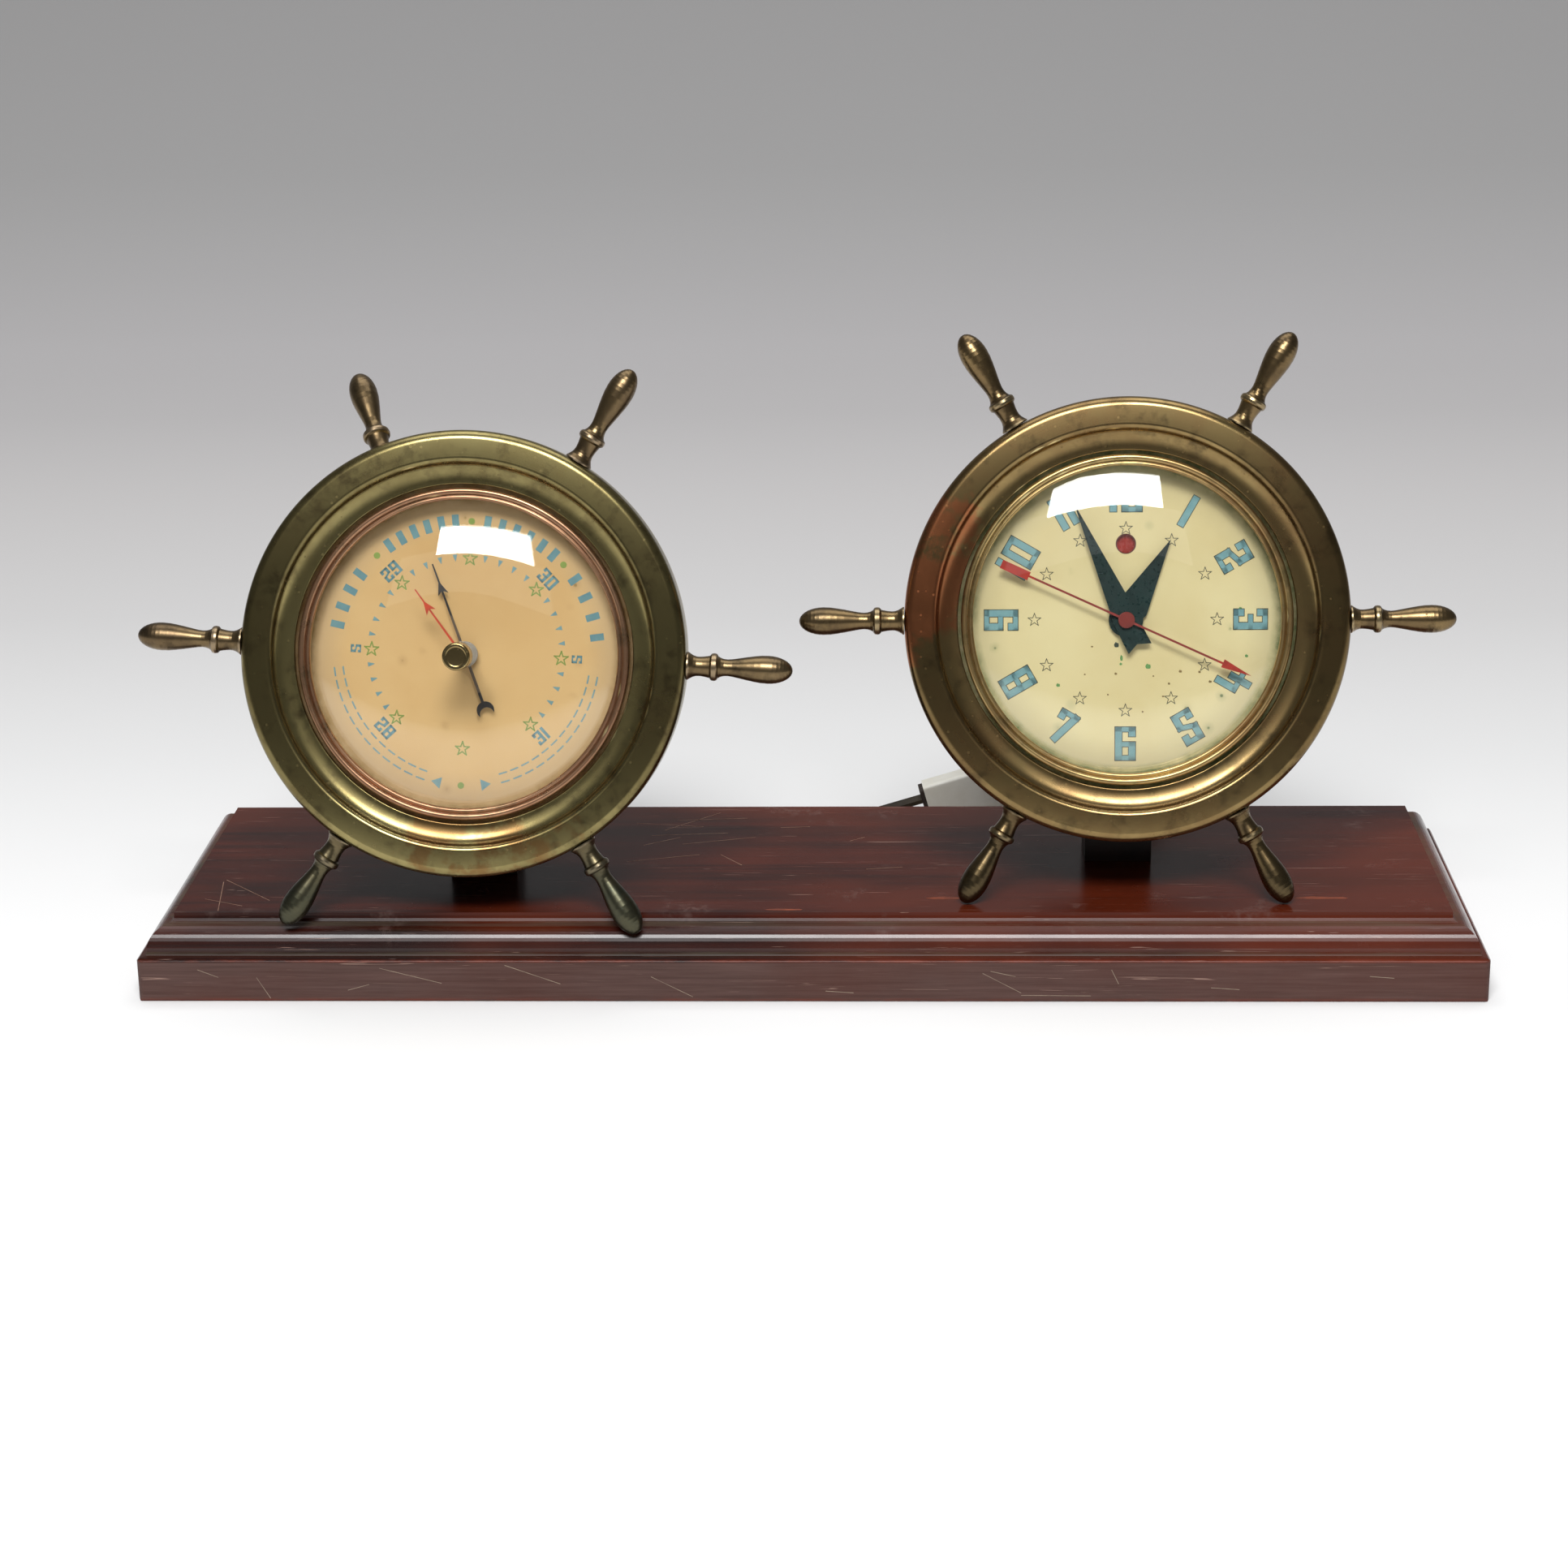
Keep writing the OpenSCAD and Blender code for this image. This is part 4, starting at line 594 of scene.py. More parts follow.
def wood():
    """Varnished wood: dark grain, dull upright face, worn edges and a film in the grooves."""
    f = Finish("mahogany")
    grain = f.noise(90, 8, 0.65, (0.035, 1, 1.4), twist=0.6)
    pores = f.noise(420, 3, 0.5, (0.02, 1, 1.2))
    cloud = f.noise(16, 3, 0.6, (0.5, 1, 1))
    deep = f.mix(f.spread(grain, 0.36, 0.64), "200A06", "46170D")
    deep = f.mix(f.spread(pores, 0.52, 0.66, 0, 0.55), deep, "190604")
    deep = f.mix(f.spread(cloud, 0.42, 0.66, 0, 0.6), deep, "642712")
    wide_bloom = f.spread(f.noise(34, 5, 0.65), 0.6, 0.72)
    bloom = f.math("MULTIPLY", wide_bloom, f.spread(f.noise(400, 3, 0.6), 0.4, 0.6))
    deep = f.mix(f.math("MULTIPLY", bloom, 0.4), deep, "75605A")
    # The upright face: greyer and duller than the varnished top
    up = f.math("MULTIPLY", f.axis("Z"), 1 / MM)
    upright = f.spread(up, FACE_TOP - 0.7, FACE_TOP, 1, 0)
    fibre = f.noise(900, 5, 0.65, (0.03, 1, 1))
    grey = f.mix(f.spread(fibre, 0.3, 0.75), "48342F", "604944")
    stain = f.spread(f.noise(26, 5, 0.6, (0.5, 1, 1)), 0.42, 0.75, 0, 0.55)
    grey = f.mix(stain, grey, "4C251B")
    base = f.mix(f.math("MULTIPLY", upright, 0.9), deep, grey)
    # Worn edges at the top and bottom of the upright face
    ragged = f.spread(f.noise(240, 5, 0.7, (0.25, 1, 1)), 0.38, 0.6)
    edges = f.math("MAXIMUM", f.near(up, FACE_TOP, 0.1, 0.55), f.spread(up, 0.2, 1.6, 1, 0))
    wear = f.math("MULTIPLY", edges, ragged, clamp=True)
    base = f.mix(f.math("MULTIPLY", wear, 0.8), base, "743423")
    # A grey-green film in the quirk and on the ledge
    grooves = f.math("MAXIMUM", f.near(up, LEDGE_Z, 0.2, 0.8), f.near(up, QUIRK_Z, 0.15, 0.5))
    patchy = f.spread(f.noise(200, 4, 0.7, (0.1, 1, 1)), 0.3, 0.7)
    film = f.math("MULTIPLY", grooves, patchy, clamp=True)
    base = f.mix(f.math("MULTIPLY", film, 0.55), base, "5C5648")
    scratch = f.spread(f.noise(1500, 2, 0.5, (0.02, 0.8, 0.8), twist=1.5), 0.70, 0.74)
    base = f.mix(f.math("MULTIPLY", scratch, 0.5), base, "A98A7C")
    dull = f.math("MAXIMUM", upright, film)
    smears = f.spread(f.noise(60, 5, 0.6), 0.3, 0.7, 0, 0.12)
    rough = f.math("ADD", f.spread(dull, 0, 1, 0.16, 0.5), smears)
    height = f.math("ADD", f.math("MULTIPLY", pores, 0.5), f.math("MULTIPLY", scratch, -0.6))
    f.bump(height, 0.25, 0.06)
    over = f.spread(up, MOULDING_LOW - 1, MOULDING_LOW)
    moulding = f.math("MULTIPLY", over, f.spread(up, MOULDING_HIGH, QUIRK_Z, 1, 0))
    f.set(Base_Color=base, Roughness=rough, Coat_Weight=f.spread(moulding, 0, 1, 0.03, 0.55),
          Coat_Roughness=0.27, Specular_IOR_Level=0.17)
    return f


# Handles are darkest up to the first height and no darker above the second, in metres
LOW_FROM_TO = (0.035, 0.075)
# Cove and band of a rim meet about this far from its middle, in millimetres
BAND_FROM_TO = (60, 61)


def brass(name, clean, dull, dark, edge="E9D9A0", share=0.5, rough=0.3, around=None, patch=None,
          cove=False, low=None):
    """Aged metal: clean metal under a brown or olive film, with specks, pits and brushed rings.

    Around is the dial's place, for rings and for a patch of (colour, angle, half angle); low is
    the colour near the base, and cove marks a rim: painted shade darkens its band at the left and
    right sides, and painted shade darkens its cove a little.
    """
    f = Finish(name)
    film = f.noise(38, 6, 0.65, twist=0.4)
    fine = f.noise(2600, 2, 0.5)
    spots = f.cells(330)
    base = f.mix(f.spread(film, share - 0.14, share + 0.14), clean, dull)
    base = f.mix(f.spread(f.noise(120, 5, 0.7), 0.52, 0.72, 0, 0.8), base, dark)
    speckled = f.spread(f.noise(70, 3), 0.45, 0.6)
    dots = f.math("MULTIPLY", f.spread(spots, 0.05, 0.16, 1, 0), speckled, clamp=True)
    base = f.mix(f.math("MULTIPLY", dots, 0.5), base, dark)
    # Pale metal on sharp edges: partly rubbed-through wear, partly a painted highlight along the
    # edges
    geometry = f.node("ShaderNodeNewGeometry")
    worn = f.spread(geometry.outputs["Pointiness"], 0.52, 0.60)
    base = f.mix(f.math("MULTIPLY", worn, 0.7), base, edge)
    if low is not None:
        base = f.mix(f.spread(f.axis("Z"), *LOW_FROM_TO, 0.65, 0), base, low)
    if around is not None:
        across, along, reach = f.inside(around)
        rings = f.node("ShaderNodeTexNoise", noise_dimensions="1D")
        f.link(reach, rings.inputs["W"])
        rings.inputs["Scale"].default_value = 9
        rings.inputs["Detail"].default_value = 6
        rings = rings.outputs[0]
        fine = f.math("ADD", f.math("MULTIPLY", fine, 0.3), f.math("MULTIPLY", rings, 0.7))
        base = f.mix(f.spread(rings, 0.35, 0.7, 0, 0.12), base, edge)
        if cove:
            # Painted shade: the band darkens towards its left and right sides
            sideways = f.math("DIVIDE", f.math("ABSOLUTE", across), reach)
            sides = f.spread(sideways, 0.45, 0.95, 0, 0.5)
            shade = f.math("MULTIPLY", sides, f.spread(reach, *BAND_FROM_TO))
            base = f.mix(shade, base, dark)
        if patch is not None:
            code, angle, half = patch
            turn = f.math("ARCTAN2", along, across)
            off = f.math("ABSOLUTE", f.math("SUBTRACT", turn, math.radians(angle)))
            over = f.math("ABSOLUTE", f.math("SUBTRACT", math.pi, off))
            away = f.math("SUBTRACT", math.pi, over)
            half = math.radians(half)
            near = f.spread(away, half * 0.3, half, 0.13, -0.2)
            spot = f.spread(f.math("ADD", f.noise(26, 6, 0.7), near), 0.54, 0.6)
            base = f.mix(f.math("MULTIPLY", spot, 0.8), base, code)
        if cove:
            # Painted shade: the cove and lip, inside the band, a little darker
            base = f.mix(f.spread(reach, 60.0, 60.8, 0.1, 0), base, dark)
    pitted = f.math("MULTIPLY", dots, 0.25)
    roughness = f.math("ADD", f.spread(film, 0.3, 0.7, rough, rough + 0.1), pitted)
    pits = f.math("SUBTRACT", fine, f.math("MULTIPLY", dots, 0.8))
    f.bump(pits, 0.02 if cove else 0.05, 0.03)
    f.set(Base_Color=base, Metallic=0.94, Roughness=roughness)
    return f


def plain(name, light, dark, metallic=0.0, rough=0.4, scale=60, grain=0.15):
    """A clouded colour with a fine grain."""
    f = Finish(name)
    cloud = f.noise(scale, 5, 0.6)
    fine = f.noise(scale * 14, 3, 0.6)
    base = f.mix(f.spread(cloud, 0.35, 0.68), light, dark)
    f.bump(fine, grain, 0.05)
    roughness = f.spread(fine, 0.3, 0.7, rough - 0.06, rough + 0.08)
    f.set(Base_Color=base, Metallic=metallic, Roughness=roughness)
    return f


def paper(name, light, dark, edge, speck, around):
    """Aged print: uneven cream, greyed to its edge by painted shade, with a ring of dirt and
    painted shade at the very edge and a few small specks.
    """
    f = Finish(name)
    reach = f.inside(around)[2]
    base = f.mix(f.spread(f.noise(18, 4, 0.6), 0.35, 0.68), light, dark)
    # Painted shade: the cream greys towards the dial's edge, under the bezel
    base = f.mix(f.spread(reach, 38, 50, 0, 0.55), base, edge)
    # A ring at the very edge, partly dirt and partly painted shade
    uneven = f.spread(f.noise(120, 5, 0.7), 0.35, 0.65, 0.1, 0.8)
    edge_dirt_and_shade = f.math("MULTIPLY", f.spread(reach, 46.2, 49.2), uneven)
    base = f.mix(edge_dirt_and_shade, base, speck)
    spots, some = f.cells(95), f.spread(f.noise(40, 2), 0.55, 0.6)
    dots = f.math("MULTIPLY", f.spread(spots, 0.035, 0.06, 1, 0), some, clamp=True)
    base = f.mix(f.math("MULTIPLY", dots, 0.8), base, speck)
    halo = f.math("MULTIPLY", f.spread(spots, 0.05, 0.22, 0.25, 0), some, clamp=True)
    base = f.mix(halo, base, speck)
    f.bump(f.noise(1200, 3, 0.6), 0.06, 0.03)
    f.set(Base_Color=base, Roughness=0.55, Specular_IOR_Level=0.3)
    return f


def glass(name, level):
    """Thin clear glass that lets shadow rays through."""
    f = Finish(name)
    smear = f.spread(f.noise(25, 4, 0.6, twist=1.0), 0.35, 0.8, 0.005, 0.03)
    f.set(Base_Color=(0.96, 0.98, 0.97, 1), Roughness=smear, Transmission_Weight=1.0, IOR=1.45,
          Specular_IOR_Level=level)
    clear = f.node("ShaderNodeBsdfTransparent")
    clear.inputs["Color"].default_value = (0.97, 0.98, 0.97, 1)
    path = f.node("ShaderNodeLightPath")
    mixed = f.node("ShaderNodeMixShader")
    through = f.math("MAXIMUM", path.outputs["Is Shadow Ray"], path.outputs["Is Diffuse Ray"])
    f.link(through, mixed.inputs[0])
    f.link(f.shader.outputs[0], mixed.inputs[1])
    f.link(clear.outputs[0], mixed.inputs[2])
    f.link(mixed.outputs[0], f.tree.nodes["Material Output"].inputs["Surface"])
    return f


def hand_finish(name, around, *tones):
    """Paint on a hand, with each tone from its distance from the arbor on."""
    f = Finish(name)
    reach = f.inside(around)[2]
    base = colour(tones[0][1])
    for at, code in tones[1:]:
        base = f.mix(f.spread(reach, at - 0.1, at + 0.1), base, code)
    base = f.mix(f.spread(f.noise(300, 4, 0.6), 0.45, 0.75, 0, 0.35), base, "2A211C")
    f.bump(f.noise(1500, 2, 0.5), 0.08, 0.03)
    f.set(Base_Color=base, Roughness=0.34)
    return f


def cord_cover():
    """Aged vinyl over the mains cord."""
    f = Finish("cord_vinyl")
    base = f.mix(f.spread(f.noise(50, 4, 0.6), 0.35, 0.7), "B5AE98", "8D8570")
    f.bump(f.noise(900, 3, 0.5), 0.12, 0.04)
    f.set(Base_Color=base, Roughness=0.42, Specular_IOR_Level=0.45)
    return f


paint(wood(), "base_plinth")
paint(plain("block_wood", "1A0D09", "2C1710", rough=0.5), "clock_block", "barometer_block")
paint(brass("clock_rim_brass", "937C50", "735836", "3A2B1A", rough=0.2, around=CLOCK,
            patch=("A0603E", 165, 50), cove=True), "clock_rim_turned")
paint(brass("barometer_rim_brass", "988C5C", "70643E", "3A2D1C", rough=0.2, around=BAROMETER,
            patch=("80603A", -85, 50), cove=True), "barometer_rim_turned")
paint(brass("handle_brass", "86704C", "5A4A36", "2C251B", edge="D8C49A", rough=0.24, low="342F22"),
      "clock_handles")
paint(brass("barometer_handle_brass", "84704F", "5C4C38", "2E271E", edge="D6BFA0", rough=0.26,
            low="38463C"), "barometer_handles")
paint(brass("clock_bezel_brass", "B39A66", "8C6B45", "4C4A2E", rough=0.25, around=CLOCK),
      "clock_glass_bezel_turned")
paint(brass("barometer_bezel_brass", "AA8064", "855B46", "4E4634", rough=0.25, around=BAROMETER),
      "barometer_glass_bezel_turned")
paint(brass("set_knob_brass", "8C7850", "5E5034", "30271A", rough=0.16, around=BAROMETER),
      "barometer_set_knob_turned")
paint(brass("bright_brass", "C8A45A", "9C7C40", "5A4824", rough=0.2, share=0.6), "clock_set_knob",
      "hour_wheel", "minute_wheel", "clock_handle_nuts", "barometer_handle_nuts", "block_screws",
      "plate_pillars", "bridge_pillars", "lever_arm", "adjusting_screw", "front_plate",
      "back_plate", "aneroid_base_plate", "pointer_bridge")
paint(plain("case_metal", "8E8D86", "6E6C64", 0.9, 0.42), "clock_case", "barometer_case")
paint(plain("cover_metal", "1C1B1A", "2A2826", 0.0, 0.45), "clock_back_cover",
      "barometer_back_cover")
paint(plain("screw_steel", "A8A8A4", "7E7D78", 0.95, 0.32), "case_screws", "clock_back_screws",
      "barometer_back_screws", "pillar_nuts", "movement_screws", "aneroid_screws", "reset_lever")
paint(plain("core_iron", "45454A", "2E2E30", 0.8, 0.5), "field_core")
paint(plain("copper_wire", "6A2A14", "4A1C10", 0.0, 0.55), "coil_winding")
paint(plain("rotor_copper", "C08A60", "8E5C3C", 0.9, 0.38), "rotor_unit")
paint(plain("spring_steel", "5C646E", "3E4248", 0.95, 0.3), "main_spring")
paint(plain("capsule_silver", "BDBAB0", "8F8C84", 0.9, 0.34), "aneroid_capsule")
paint(plain("dark_rubber", "161413", "25211F", 0.0, 0.6), "cord_bushing")
paint(plain("tie_band", "262422", "191817", 0.0, 0.5), "cord_tie")
paint(plain("ivory_plug", "F2F0E6", "E6E2D4", 0.0, 0.35), "plug_body")
paint(plain("fibre_plate", "241A16", "362A22", 0.0, 0.7), "plug_face")
paint(plain("blade_brass", "3A332A", "5A5040", 0.8, 0.5), "plug_blades")
paint(plain("hand_black", "152A28", "0D1A18", 0.2, 0.3), "hour_hand", "minute_hand")
paint(plain("flag_red", "A82A1A", "7C1C12", 0.0, 0.25), "indicator_flag")
paint(hand_finish("second_hand_red", CLOCK, (0, "6E241C"), (2.7, "84302A"), (32, "A02A1E")),
      "second_hand")
paint(hand_finish("set_hand_red", BAROMETER, (0, "7E7468"), (3.3, "C0442A"), (30, "B03A22")),
      "set_hand", "set_hand_barb")
paint(hand_finish("pointer_black", BAROMETER, (0, "968C80"), (4.3, "5E4E40"), (13, "221C1A")),
      "pressure_pointer", "pointer_hub", "pointer_barb")
paint(glass("clock_glass", 0.12), "clock_crystal_turned")
paint(glass("barometer_glass", 0.2), "barometer_crystal_turned")
paint(paper("clock_paper", "DACB9C", "CDBA88", "A89C7A", "3C5A2A", CLOCK), "clock_dial")
paint(paper("barometer_paper", "D2AD78", "C79F68", "A8947A", "8A6A3A", BAROMETER),
      "barometer_dial")
paint(cord_cover(), "cord")


# Printed marks: flat shapes that lie just over each dial, in the dial's own millimetres
DIAL_Z, PRINT_GAP, FILL_GAP = -5.0, 0.03, 0.05
PRINT_Z, FILL_Z = DIAL_Z + PRINT_GAP, DIAL_Z + FILL_GAP
NUMERAL_R, NUMERAL_SIZE, NUMERAL_STROKES, NUMERAL_GAP = 39.7, (6.9, 11.1), (2.6, 1.95), 1.2
EDGE_W = 0.5
CLOCK_STAR_PLACE_R, CLOCK_STAR_R, CLOCK_STAR_W = 29.1, 2.15, 0.24
WINDOW_UP, WINDOW_R, WINDOW_W = 24.2, 3.05, 0.4
FIGURE_PLACE_R, FIGURE_GAP = 35.3, 0.6
FIGURE_SIZE, FIGURE_STROKES = (2.8, 4.4), (0.95, 0.65)
HALF_SIZE, HALF_STROKES = (2.5, 3.3), (0.8, 0.5)
SCALE_STAR_PLACE_R, SCALE_STAR_R, SCALE_STAR_W = 30.3, 2.3, 0.42
WEDGE = [(-0.75, 1.05), (0.75, 1.05), (0.1, -1.05), (-0.1, -1.05)]
WEDGE_PLACE_R, WEDGE_STEP = 30.6, 9
OUTER_R, DOT_R, DOT_SIDES, DOT_ANGLES = 42.0, 1.05, 24, (0, 45, -45, 180)
ARROW_HALF_L, ARROW_HALF_W, ARROW_TURN = 1.6, 1.9, 11
ROW_BAR = [(-1.1, 2.2), (1.1, 2.2), (1.1, -2.2), (-1.1, -2.2)]
# Plain rows of bars round the scale, as (first angle, last angle, bars)
BAR_ROWS = ((-80, -56, 4), (-38, -7, 6), (7, 39, 6), (53, 80, 4))
LINE_RADII, LINE_W, LINE_ARCS = (39.6, 42.4), 0.5, ((-164, -97), (97, 164))
LINE_DASHES, DASH_SHARE, DASH_STEPS = 12, 0.72, 3
GREEN_GROW, BROWN_GROW, BLOT_UNEVEN = 1.7, 1.4, 0.28
# Specks on the clock's dial, as (x, y, half width, half height)
GREEN_SPECKS = [
    (-1.3, -12.3, 0.25, 0.6), (-1.5, -14.2, 0.25, 0.25), (-21.5, -20.9, 0.35, 0.35),
    (36.5, 3.4, 0.3, 0.3), (38.5, -11.7, 0.3, 0.3), (7.2, -15.0, 0.5, 0.5), (-9.4, 21.0, 0.2, 0.2),
]
BROWN_SPECKS = [
    (17.5, -16.6, 0.35, 0.35), (-3.1, -17.3, 0.3, 0.3), (8.9, -18.1, 0.2, 0.2),
    (-10.7, -8.6, 0.25, 0.2), (13.9, -20.5, 0.25, 0.3), (23.6, -16.8, 0.3, 0.3),
    (27.0, -19.9, 0.35, 0.3), (-13.0, -17.5, 0.2, 0.2), (-5.6, -24.0, 0.2, 0.2),
    (12.0, -24.6, 0.25, 0.2), (5.5, -29.5, 0.2, 0.25),
]
DARK_SPECK = (-2.9, -8.1, 0.75, 0.9)


def shapes(name, outlines, place, z, finish):
    """Flat outlines at one height of a place."""
    points, faces = [], []
    for outline in outlines:
        faces.append(tuple(range(len(points), len(points) + len(outline))))
        points += [place @ (Vector((x, y, z)) * MM) for x, y in outline]
    mesh = bpy.data.meshes.new(name)
    mesh.from_pydata([tuple(p) for p in points], [], faces)
    new_object(name, mesh)
    mesh.materials.append(finish.material)


def bar(start, end, width, cap):
    """A straight stroke as a quad, its ends carried on by cap."""
    (ax, ay), (bx, by) = start, end
    long = math.hypot(bx - ax, by - ay)
    ux, uy = (bx - ax) / long, (by - ay) / long
    nx, ny = -uy * width / 2, ux * width / 2
    ax, ay, bx, by = ax - ux * cap, ay - uy * cap, bx + ux * cap, by + uy * cap
    return [(ax + nx, ay + ny), (ax - nx, ay - ny), (bx - nx, by - ny), (bx + nx, by + ny)]


DIGITS = {
    "0": [[(-1, -1), (-1, 1), (1, 1), (1, -1), (-1, -1)]],
    "1": [[(0, -1), (0, 1)]],
    "2": [[(-1, 0.62), (-1, 1), (1, 1), (1, 0.16), (-1, -0.16), (-1, -1), (1, -1), (1, -0.62)]],
    "3": [[(-1, 0.62), (-1, 1), (1, 1), (1, -1), (-1, -1), (-1, -0.62)], [(1, 0), (-0.2, 0)]],
    "4": [[(-0.9, 1), (-0.9, -0.32), (1.2, -0.32)], [(0.62, 0.3), (0.62, -1)]],
    "5": [[(1, 0.62), (1, 1), (-1, 1), (-1, 0.14), (1, -0.14), (1, -1), (-1, -1), (-1, -0.62)]],
    "6": [[(1, 0.66), (1, 1), (-1, 1), (-1, -1), (1, -1), (1, -0.04), (-0.1, -0.04)]],
    "7": [[(-1, 0.62), (-1, 1), (1, 1), (-0.3, -1)]],
    "8": [[(-1, -1), (-1, 1), (1, 1), (1, -1), (-1, -1)], [(-1, 0), (1, 0)]],
    "9": [[(-1, -0.66), (-1, -1), (1, -1), (1, 1), (-1, 1), (-1, 0.04), (0.1, 0.04)]],
}


def numeral(text, size, strokes, less, gap):
    """Squared figures round (0, 0), with the widths of upright and level strokes less an edge."""
    (wide, high), (upright, level) = size, strokes
    widths = [upright if c == "1" else wide for c in text]
    x = -(sum(widths) + gap * (len(text) - 1)) / 2
    outlines = []
    for c, width in zip(text, widths):
        centre = x + width / 2
        half = ((wide - upright) / 2, (high - level) / 2)
        for line in DIGITS[c]:
            spots = [(centre + px * half[0], py * half[1]) for px, py in line]
            for (ax, ay), (bx, by) in zip(spots, spots[1:]):
                is_level = abs(bx - ax) > abs(by - ay)
                width_here, cap = (level, upright / 2) if is_level else (upright, level / 2)
                outlines.append(bar((ax, ay), (bx, by), width_here - less, cap - less / 2))
        x += width + gap
    return outlines


STAR_INNER_SHARE = 0.4


def star_line(radius, width):
    """A five-pointed star drawn as a line."""
    corners = [on_circle(radius * (STAR_INNER_SHARE if k % 2 else 1), 36 * k) for k in range(10)]
    return [bar(corners[k], corners[(k + 1) % 10], width, width / 2) for k in range(10)]


def stars_round(place_radius, radius, width, count):
    quads = []
    for k in range(count):
        at = on_circle(place_radius, 360 / count * k)
        quads += [moved(quad, at) for quad in star_line(radius, width)]
    return quads


def band(radius, width, start, end, steps):
    """An arc-shaped stroke in short quads."""
    low, high = radius - width / 2, radius + width / 2
    turns = [start + (end - start) * k / steps for k in range(steps + 1)]
    return [[on_circle(low, a), on_circle(high, a), on_circle(high, b), on_circle(low, b)]
            for a, b in zip(turns, turns[1:])]


def ink(name, light, dark, rough=0.5):
    return plain(name, light, dark, 0.0, rough, scale=200, grain=0.05)


def print_clock():
    dark, fill = [], []
    for hour in range(1, 13):
        up = not 4 <= hour <= 8
        for less, outlines in ((0, dark), (EDGE_W, fill)):
            for outline in numeral(str(hour), NUMERAL_SIZE, NUMERAL_STROKES, less, NUMERAL_GAP):
                outlines.append(turned(outline, 30 * hour, NUMERAL_R, up))
    shapes("clock_numeral_edges", dark, CLOCK, PRINT_Z, ink("edge_ink", "3A3C30", "4A4838"))
    shapes("clock_numerals", fill, CLOCK, FILL_Z, ink("teal_ink", "628C92", "74999A"))
    stars = stars_round(CLOCK_STAR_PLACE_R, CLOCK_STAR_R, CLOCK_STAR_W, 12)
    shapes("clock_stars", stars, CLOCK, PRINT_Z, ink("star_ink", "46402C", "565036"))


def spot(x, y, wide, high, grow=1.0):
    """A small uneven blot."""
    points = []
    for k in range(10):
        across = grow * wide * (1 + BLOT_UNEVEN * math.sin(3.1 * k))
        along = grow * high * (1 + BLOT_UNEVEN * math.sin(2.3 * k))
        t = math.pi * k / 5
        points.append((x + across * math.cos(t), y + along * math.sin(t)))
    return points


def mark_clock():
    green = [spot(*speck, GREEN_GROW) for speck in GREEN_SPECKS]
    brown = [spot(*speck, BROWN_GROW) for speck in BROWN_SPECKS]
    for name, outlines, finish in (
            ("dial_green_specks", green, ink("green_speck", "4E7A3C", "5E8A4A")),
            ("dial_brown_specks", brown, ink("brown_speck", "6A5228", "7A6234")),
            ("dial_dark_speck", [spot(*DARK_SPECK)], ink("dark_speck", "14200E", "202C18"))):
        shapes(name, outlines, CLOCK, PRINT_Z, finish)
    ring = [moved(quad, (0, WINDOW_UP)) for quad in band(WINDOW_R, WINDOW_W, 0, 360, 48)]
    shapes("window_edge", ring, CLOCK, PRINT_Z, ink("window_ink", "5E2A1E", "4A2018", 0.3))


def print_barometer():
    blue = ink("blue_ink", "5F8288", "74908C")
    teal = ink("deep_blue_ink", "527880", "668A8C")
    green = ink("green_ink", "748838", "7E8C42")
    marks = [turned(WEDGE, WEDGE_STEP * k, WEDGE_PLACE_R) for k in range(-15, 16) if k % 5]
    figures = []
    for k, text in enumerate(("28", "5", "29", "5", "30", "5", "31")):
        angle, up = 45 * k - 135, k not in (0, 6)
        half = text == "5"
        size, strokes = (HALF_SIZE, HALF_STROKES) if half else (FIGURE_SIZE, FIGURE_STROKES)
        for outline in numeral(text, size, strokes, 0, FIGURE_GAP):
            figures.append(turned(outline, angle, FIGURE_PLACE_R, up))
    dot = [on_circle(DOT_R, 90 - 360 / DOT_SIDES * k) for k in range(DOT_SIDES)]
    dots = [moved(dot, on_circle(OUTER_R, angle)) for angle in DOT_ANGLES]
    for side in (-1, 1):
        tip = ARROW_HALF_L * side
        arrow = [(-tip, ARROW_HALF_W), (tip, 0), (-tip, -ARROW_HALF_W)]
        marks.append(turned(arrow, 180 + ARROW_TURN * side, OUTER_R))
    bars = []
    for start, end, count in BAR_ROWS:
        step = (end - start) / (count - 1)
        bars += [turned(ROW_BAR, start + step * k, OUTER_R) for k in range(count)]
    for radius in LINE_RADII:
        for low, high in LINE_ARCS:
            step = (high - low) / LINE_DASHES
            for k in range(LINE_DASHES):
                start = low + k * step
                marks += band(radius, LINE_W, start, start + DASH_SHARE * step, DASH_STEPS)
    stars = stars_round(SCALE_STAR_PLACE_R, SCALE_STAR_R, SCALE_STAR_W, 8)
    shapes("barometer_stars", stars, BAROMETER, PRINT_Z, green)
    shapes("barometer_dots", dots, BAROMETER, PRINT_Z, green)
    shapes("barometer_marks", marks, BAROMETER, PRINT_Z, blue)
    shapes("barometer_figures", figures, BAROMETER, FILL_Z, teal)
    shapes("barometer_bars", bars, BAROMETER, PRINT_Z, teal)


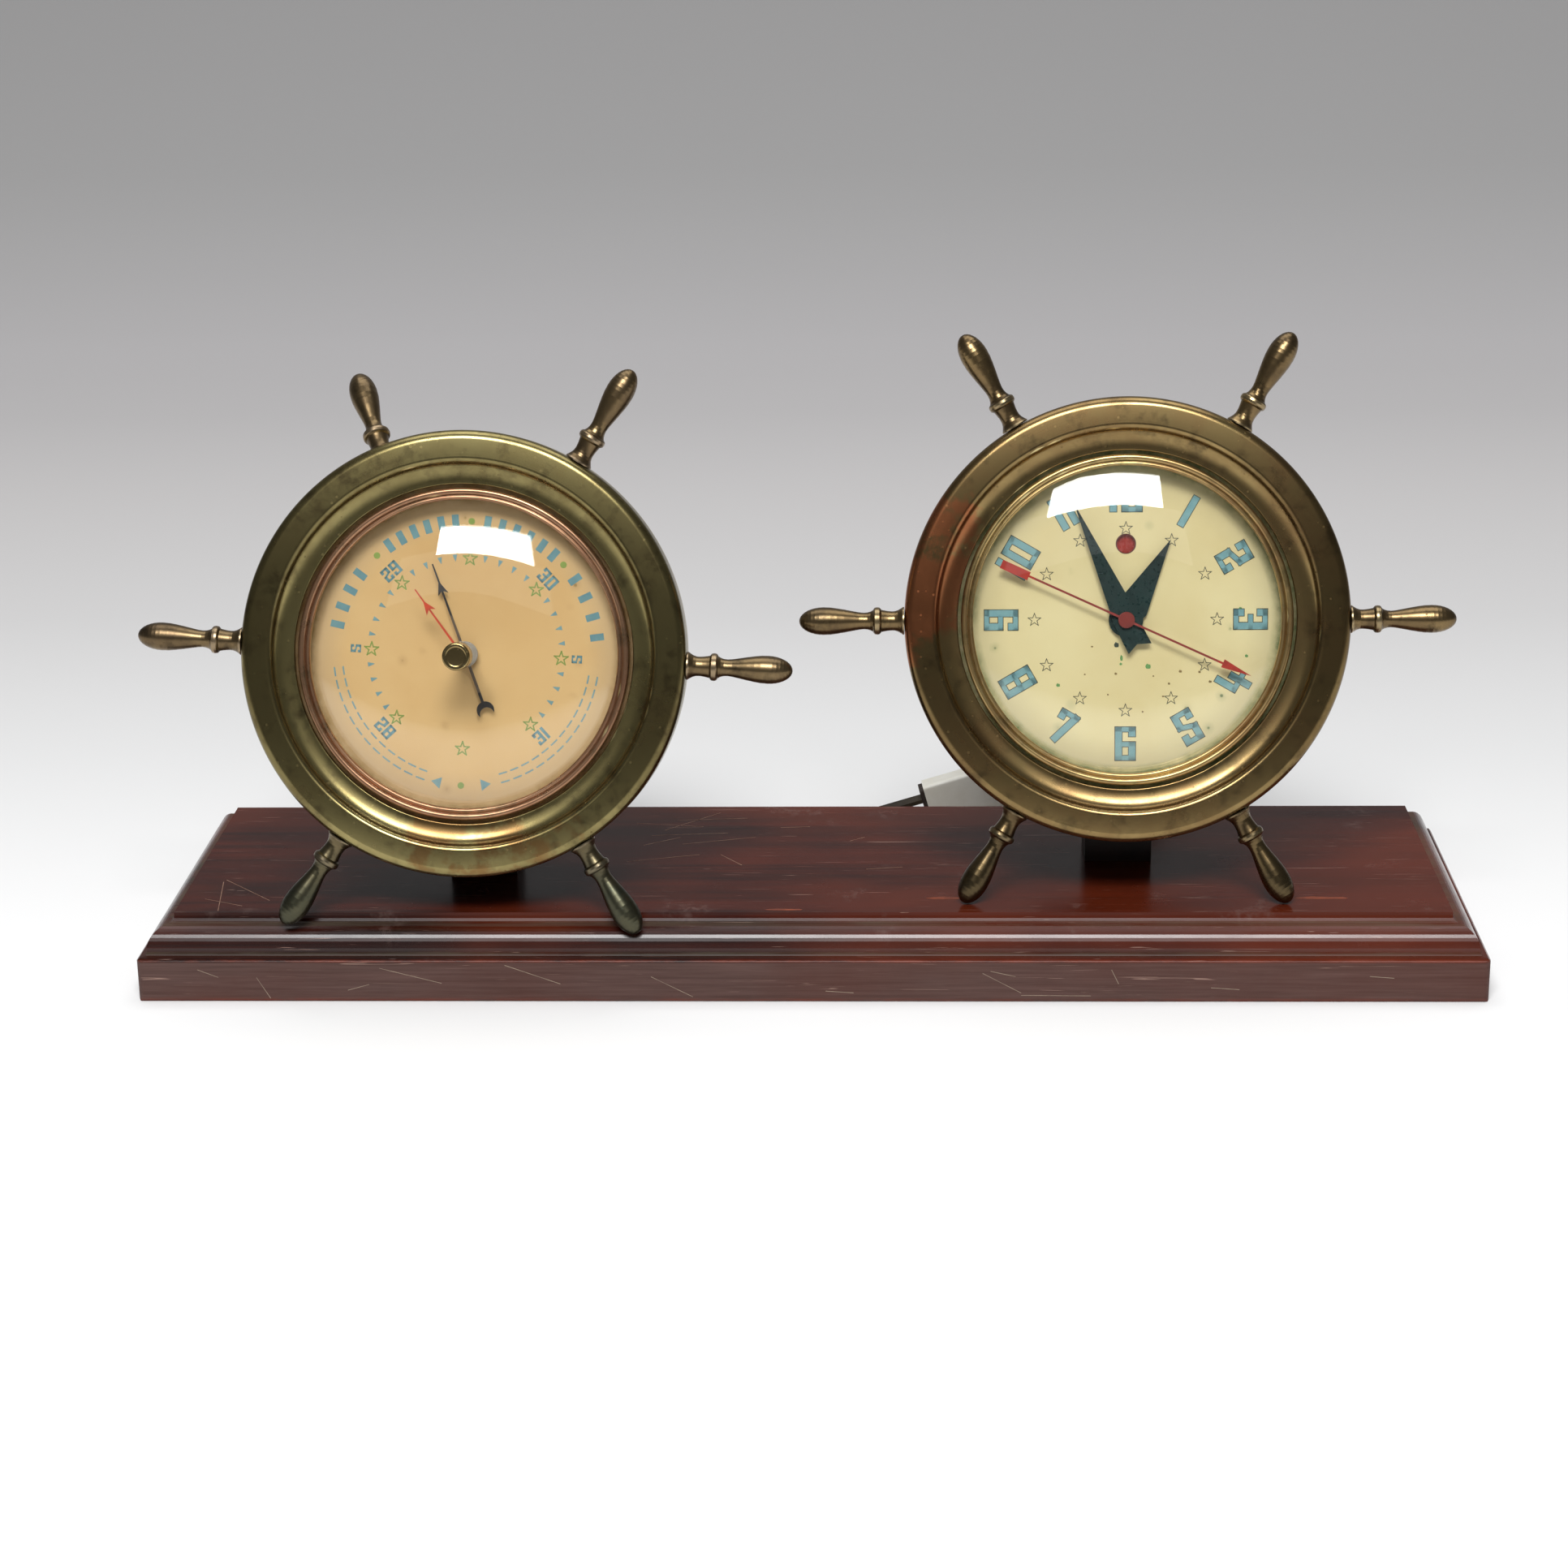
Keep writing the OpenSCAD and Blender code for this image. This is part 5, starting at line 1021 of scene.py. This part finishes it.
# Wear of the base: ends of scratches on its top (x, y) and front (x, z), and worn spots
BASE_D, BASE_H = 127.0, 26.5
WEAR_GAP, SPOT_GAP = 0.03, 0.02
TOP_SCRATCH_W, FRONT_SCRATCH_W = 0.24, 0.2
TOP_SCRATCHES = [
    ((-194.0, -22.0), (-176.0, -41.5)), ((-191.0, -51.0), (-194.6, -24.0)),
    ((-197.5, -40.0), (-184.0, -46.5)), ((-51.8, 27.5), (-33.6, 45.9)),
    ((-44.8, 13.1), (-20.2, 20.1)), ((-62.1, 34.9), (-38.8, 31.1)), ((-23.6, -8.0), (-31.2, 2.4)),
    ((-62.4, -4.4), (-38.3, 2.5)), ((-56.0, 22.0), (-30.0, 24.5)), ((-48.0, 38.0), (-24.0, 40.0)),
    ((-58.0, 12.0), (-46.0, 20.0)), ((-12.0, 30.0), (-2.0, 31.0)), ((12.0, 16.0), (17.0, 20.0)),
    ((-150.0, 44.0), (-138.0, 48.0)), ((18.0, -12.0), (30.0, -10.0)),
]
FRONT_SCRATCHES = [
    ((-177.3, 8.4), (-173.1, 1.2)), ((-137.5, 11.6), (-117.6, 6.4)), ((-50.3, 8.7), (-37.0, 1.8)),
    ((-97.1, 12.6), (-79.4, 6.2)), ((-196.2, 11.0), (-189.6, 8.4)), ((55.5, 9.9), (67.8, 3.2)),
    ((67.8, 2.4), (90.0, 2.2)), ((96.4, 11.1), (98.7, 6.3)), ((178.0, 8.9), (185.7, 8.3)),
    ((5.5, 3.8), (14.4, 3.2)), ((58.0, 10.6), (66.0, 8.8)), ((-148.0, 4.0), (-141.0, 6.0)),
    ((128.0, 5.0), (137.0, 4.4)),
]
WORN_SPOTS = [(46.0, -39.5, 8.0, 1.3), (165.0, -39.5, 8.5, 1.2), (-8.0, -50.0, 6.0, 0.8)]


def scratch_wood():
    """Light scratches and worn spots on the base's top and front."""
    top = [bar(start, end, TOP_SCRATCH_W, 0) for start, end in TOP_SCRATCHES]
    front = [bar(start, end, FRONT_SCRATCH_W, 0) for start, end in FRONT_SCRATCHES]
    worn = [spot(*patch) for patch in WORN_SPOTS]
    flat = Matrix.Identity(4)
    upright = Matrix(((1, 0, 0, 0), (0, 0, -1, -BASE_D / 2 * MM), (0, 1, 0, 0), (0, 0, 0, 1)))
    pale = ink("pale_scratch", "9A7C68", "6E4A38")
    shapes("top_scratches", top, flat, BASE_H + WEAR_GAP, pale)
    shapes("front_scratches", front, upright, WEAR_GAP, ink("grey_scratch", "94826F", "6A564A"))
    shapes("worn_spots", worn, flat, BASE_H + SPOT_GAP, ink("worn_wood", "8E4426", "5C2A1A"))


print_clock()
mark_clock()
print_barometer()
scratch_wood()
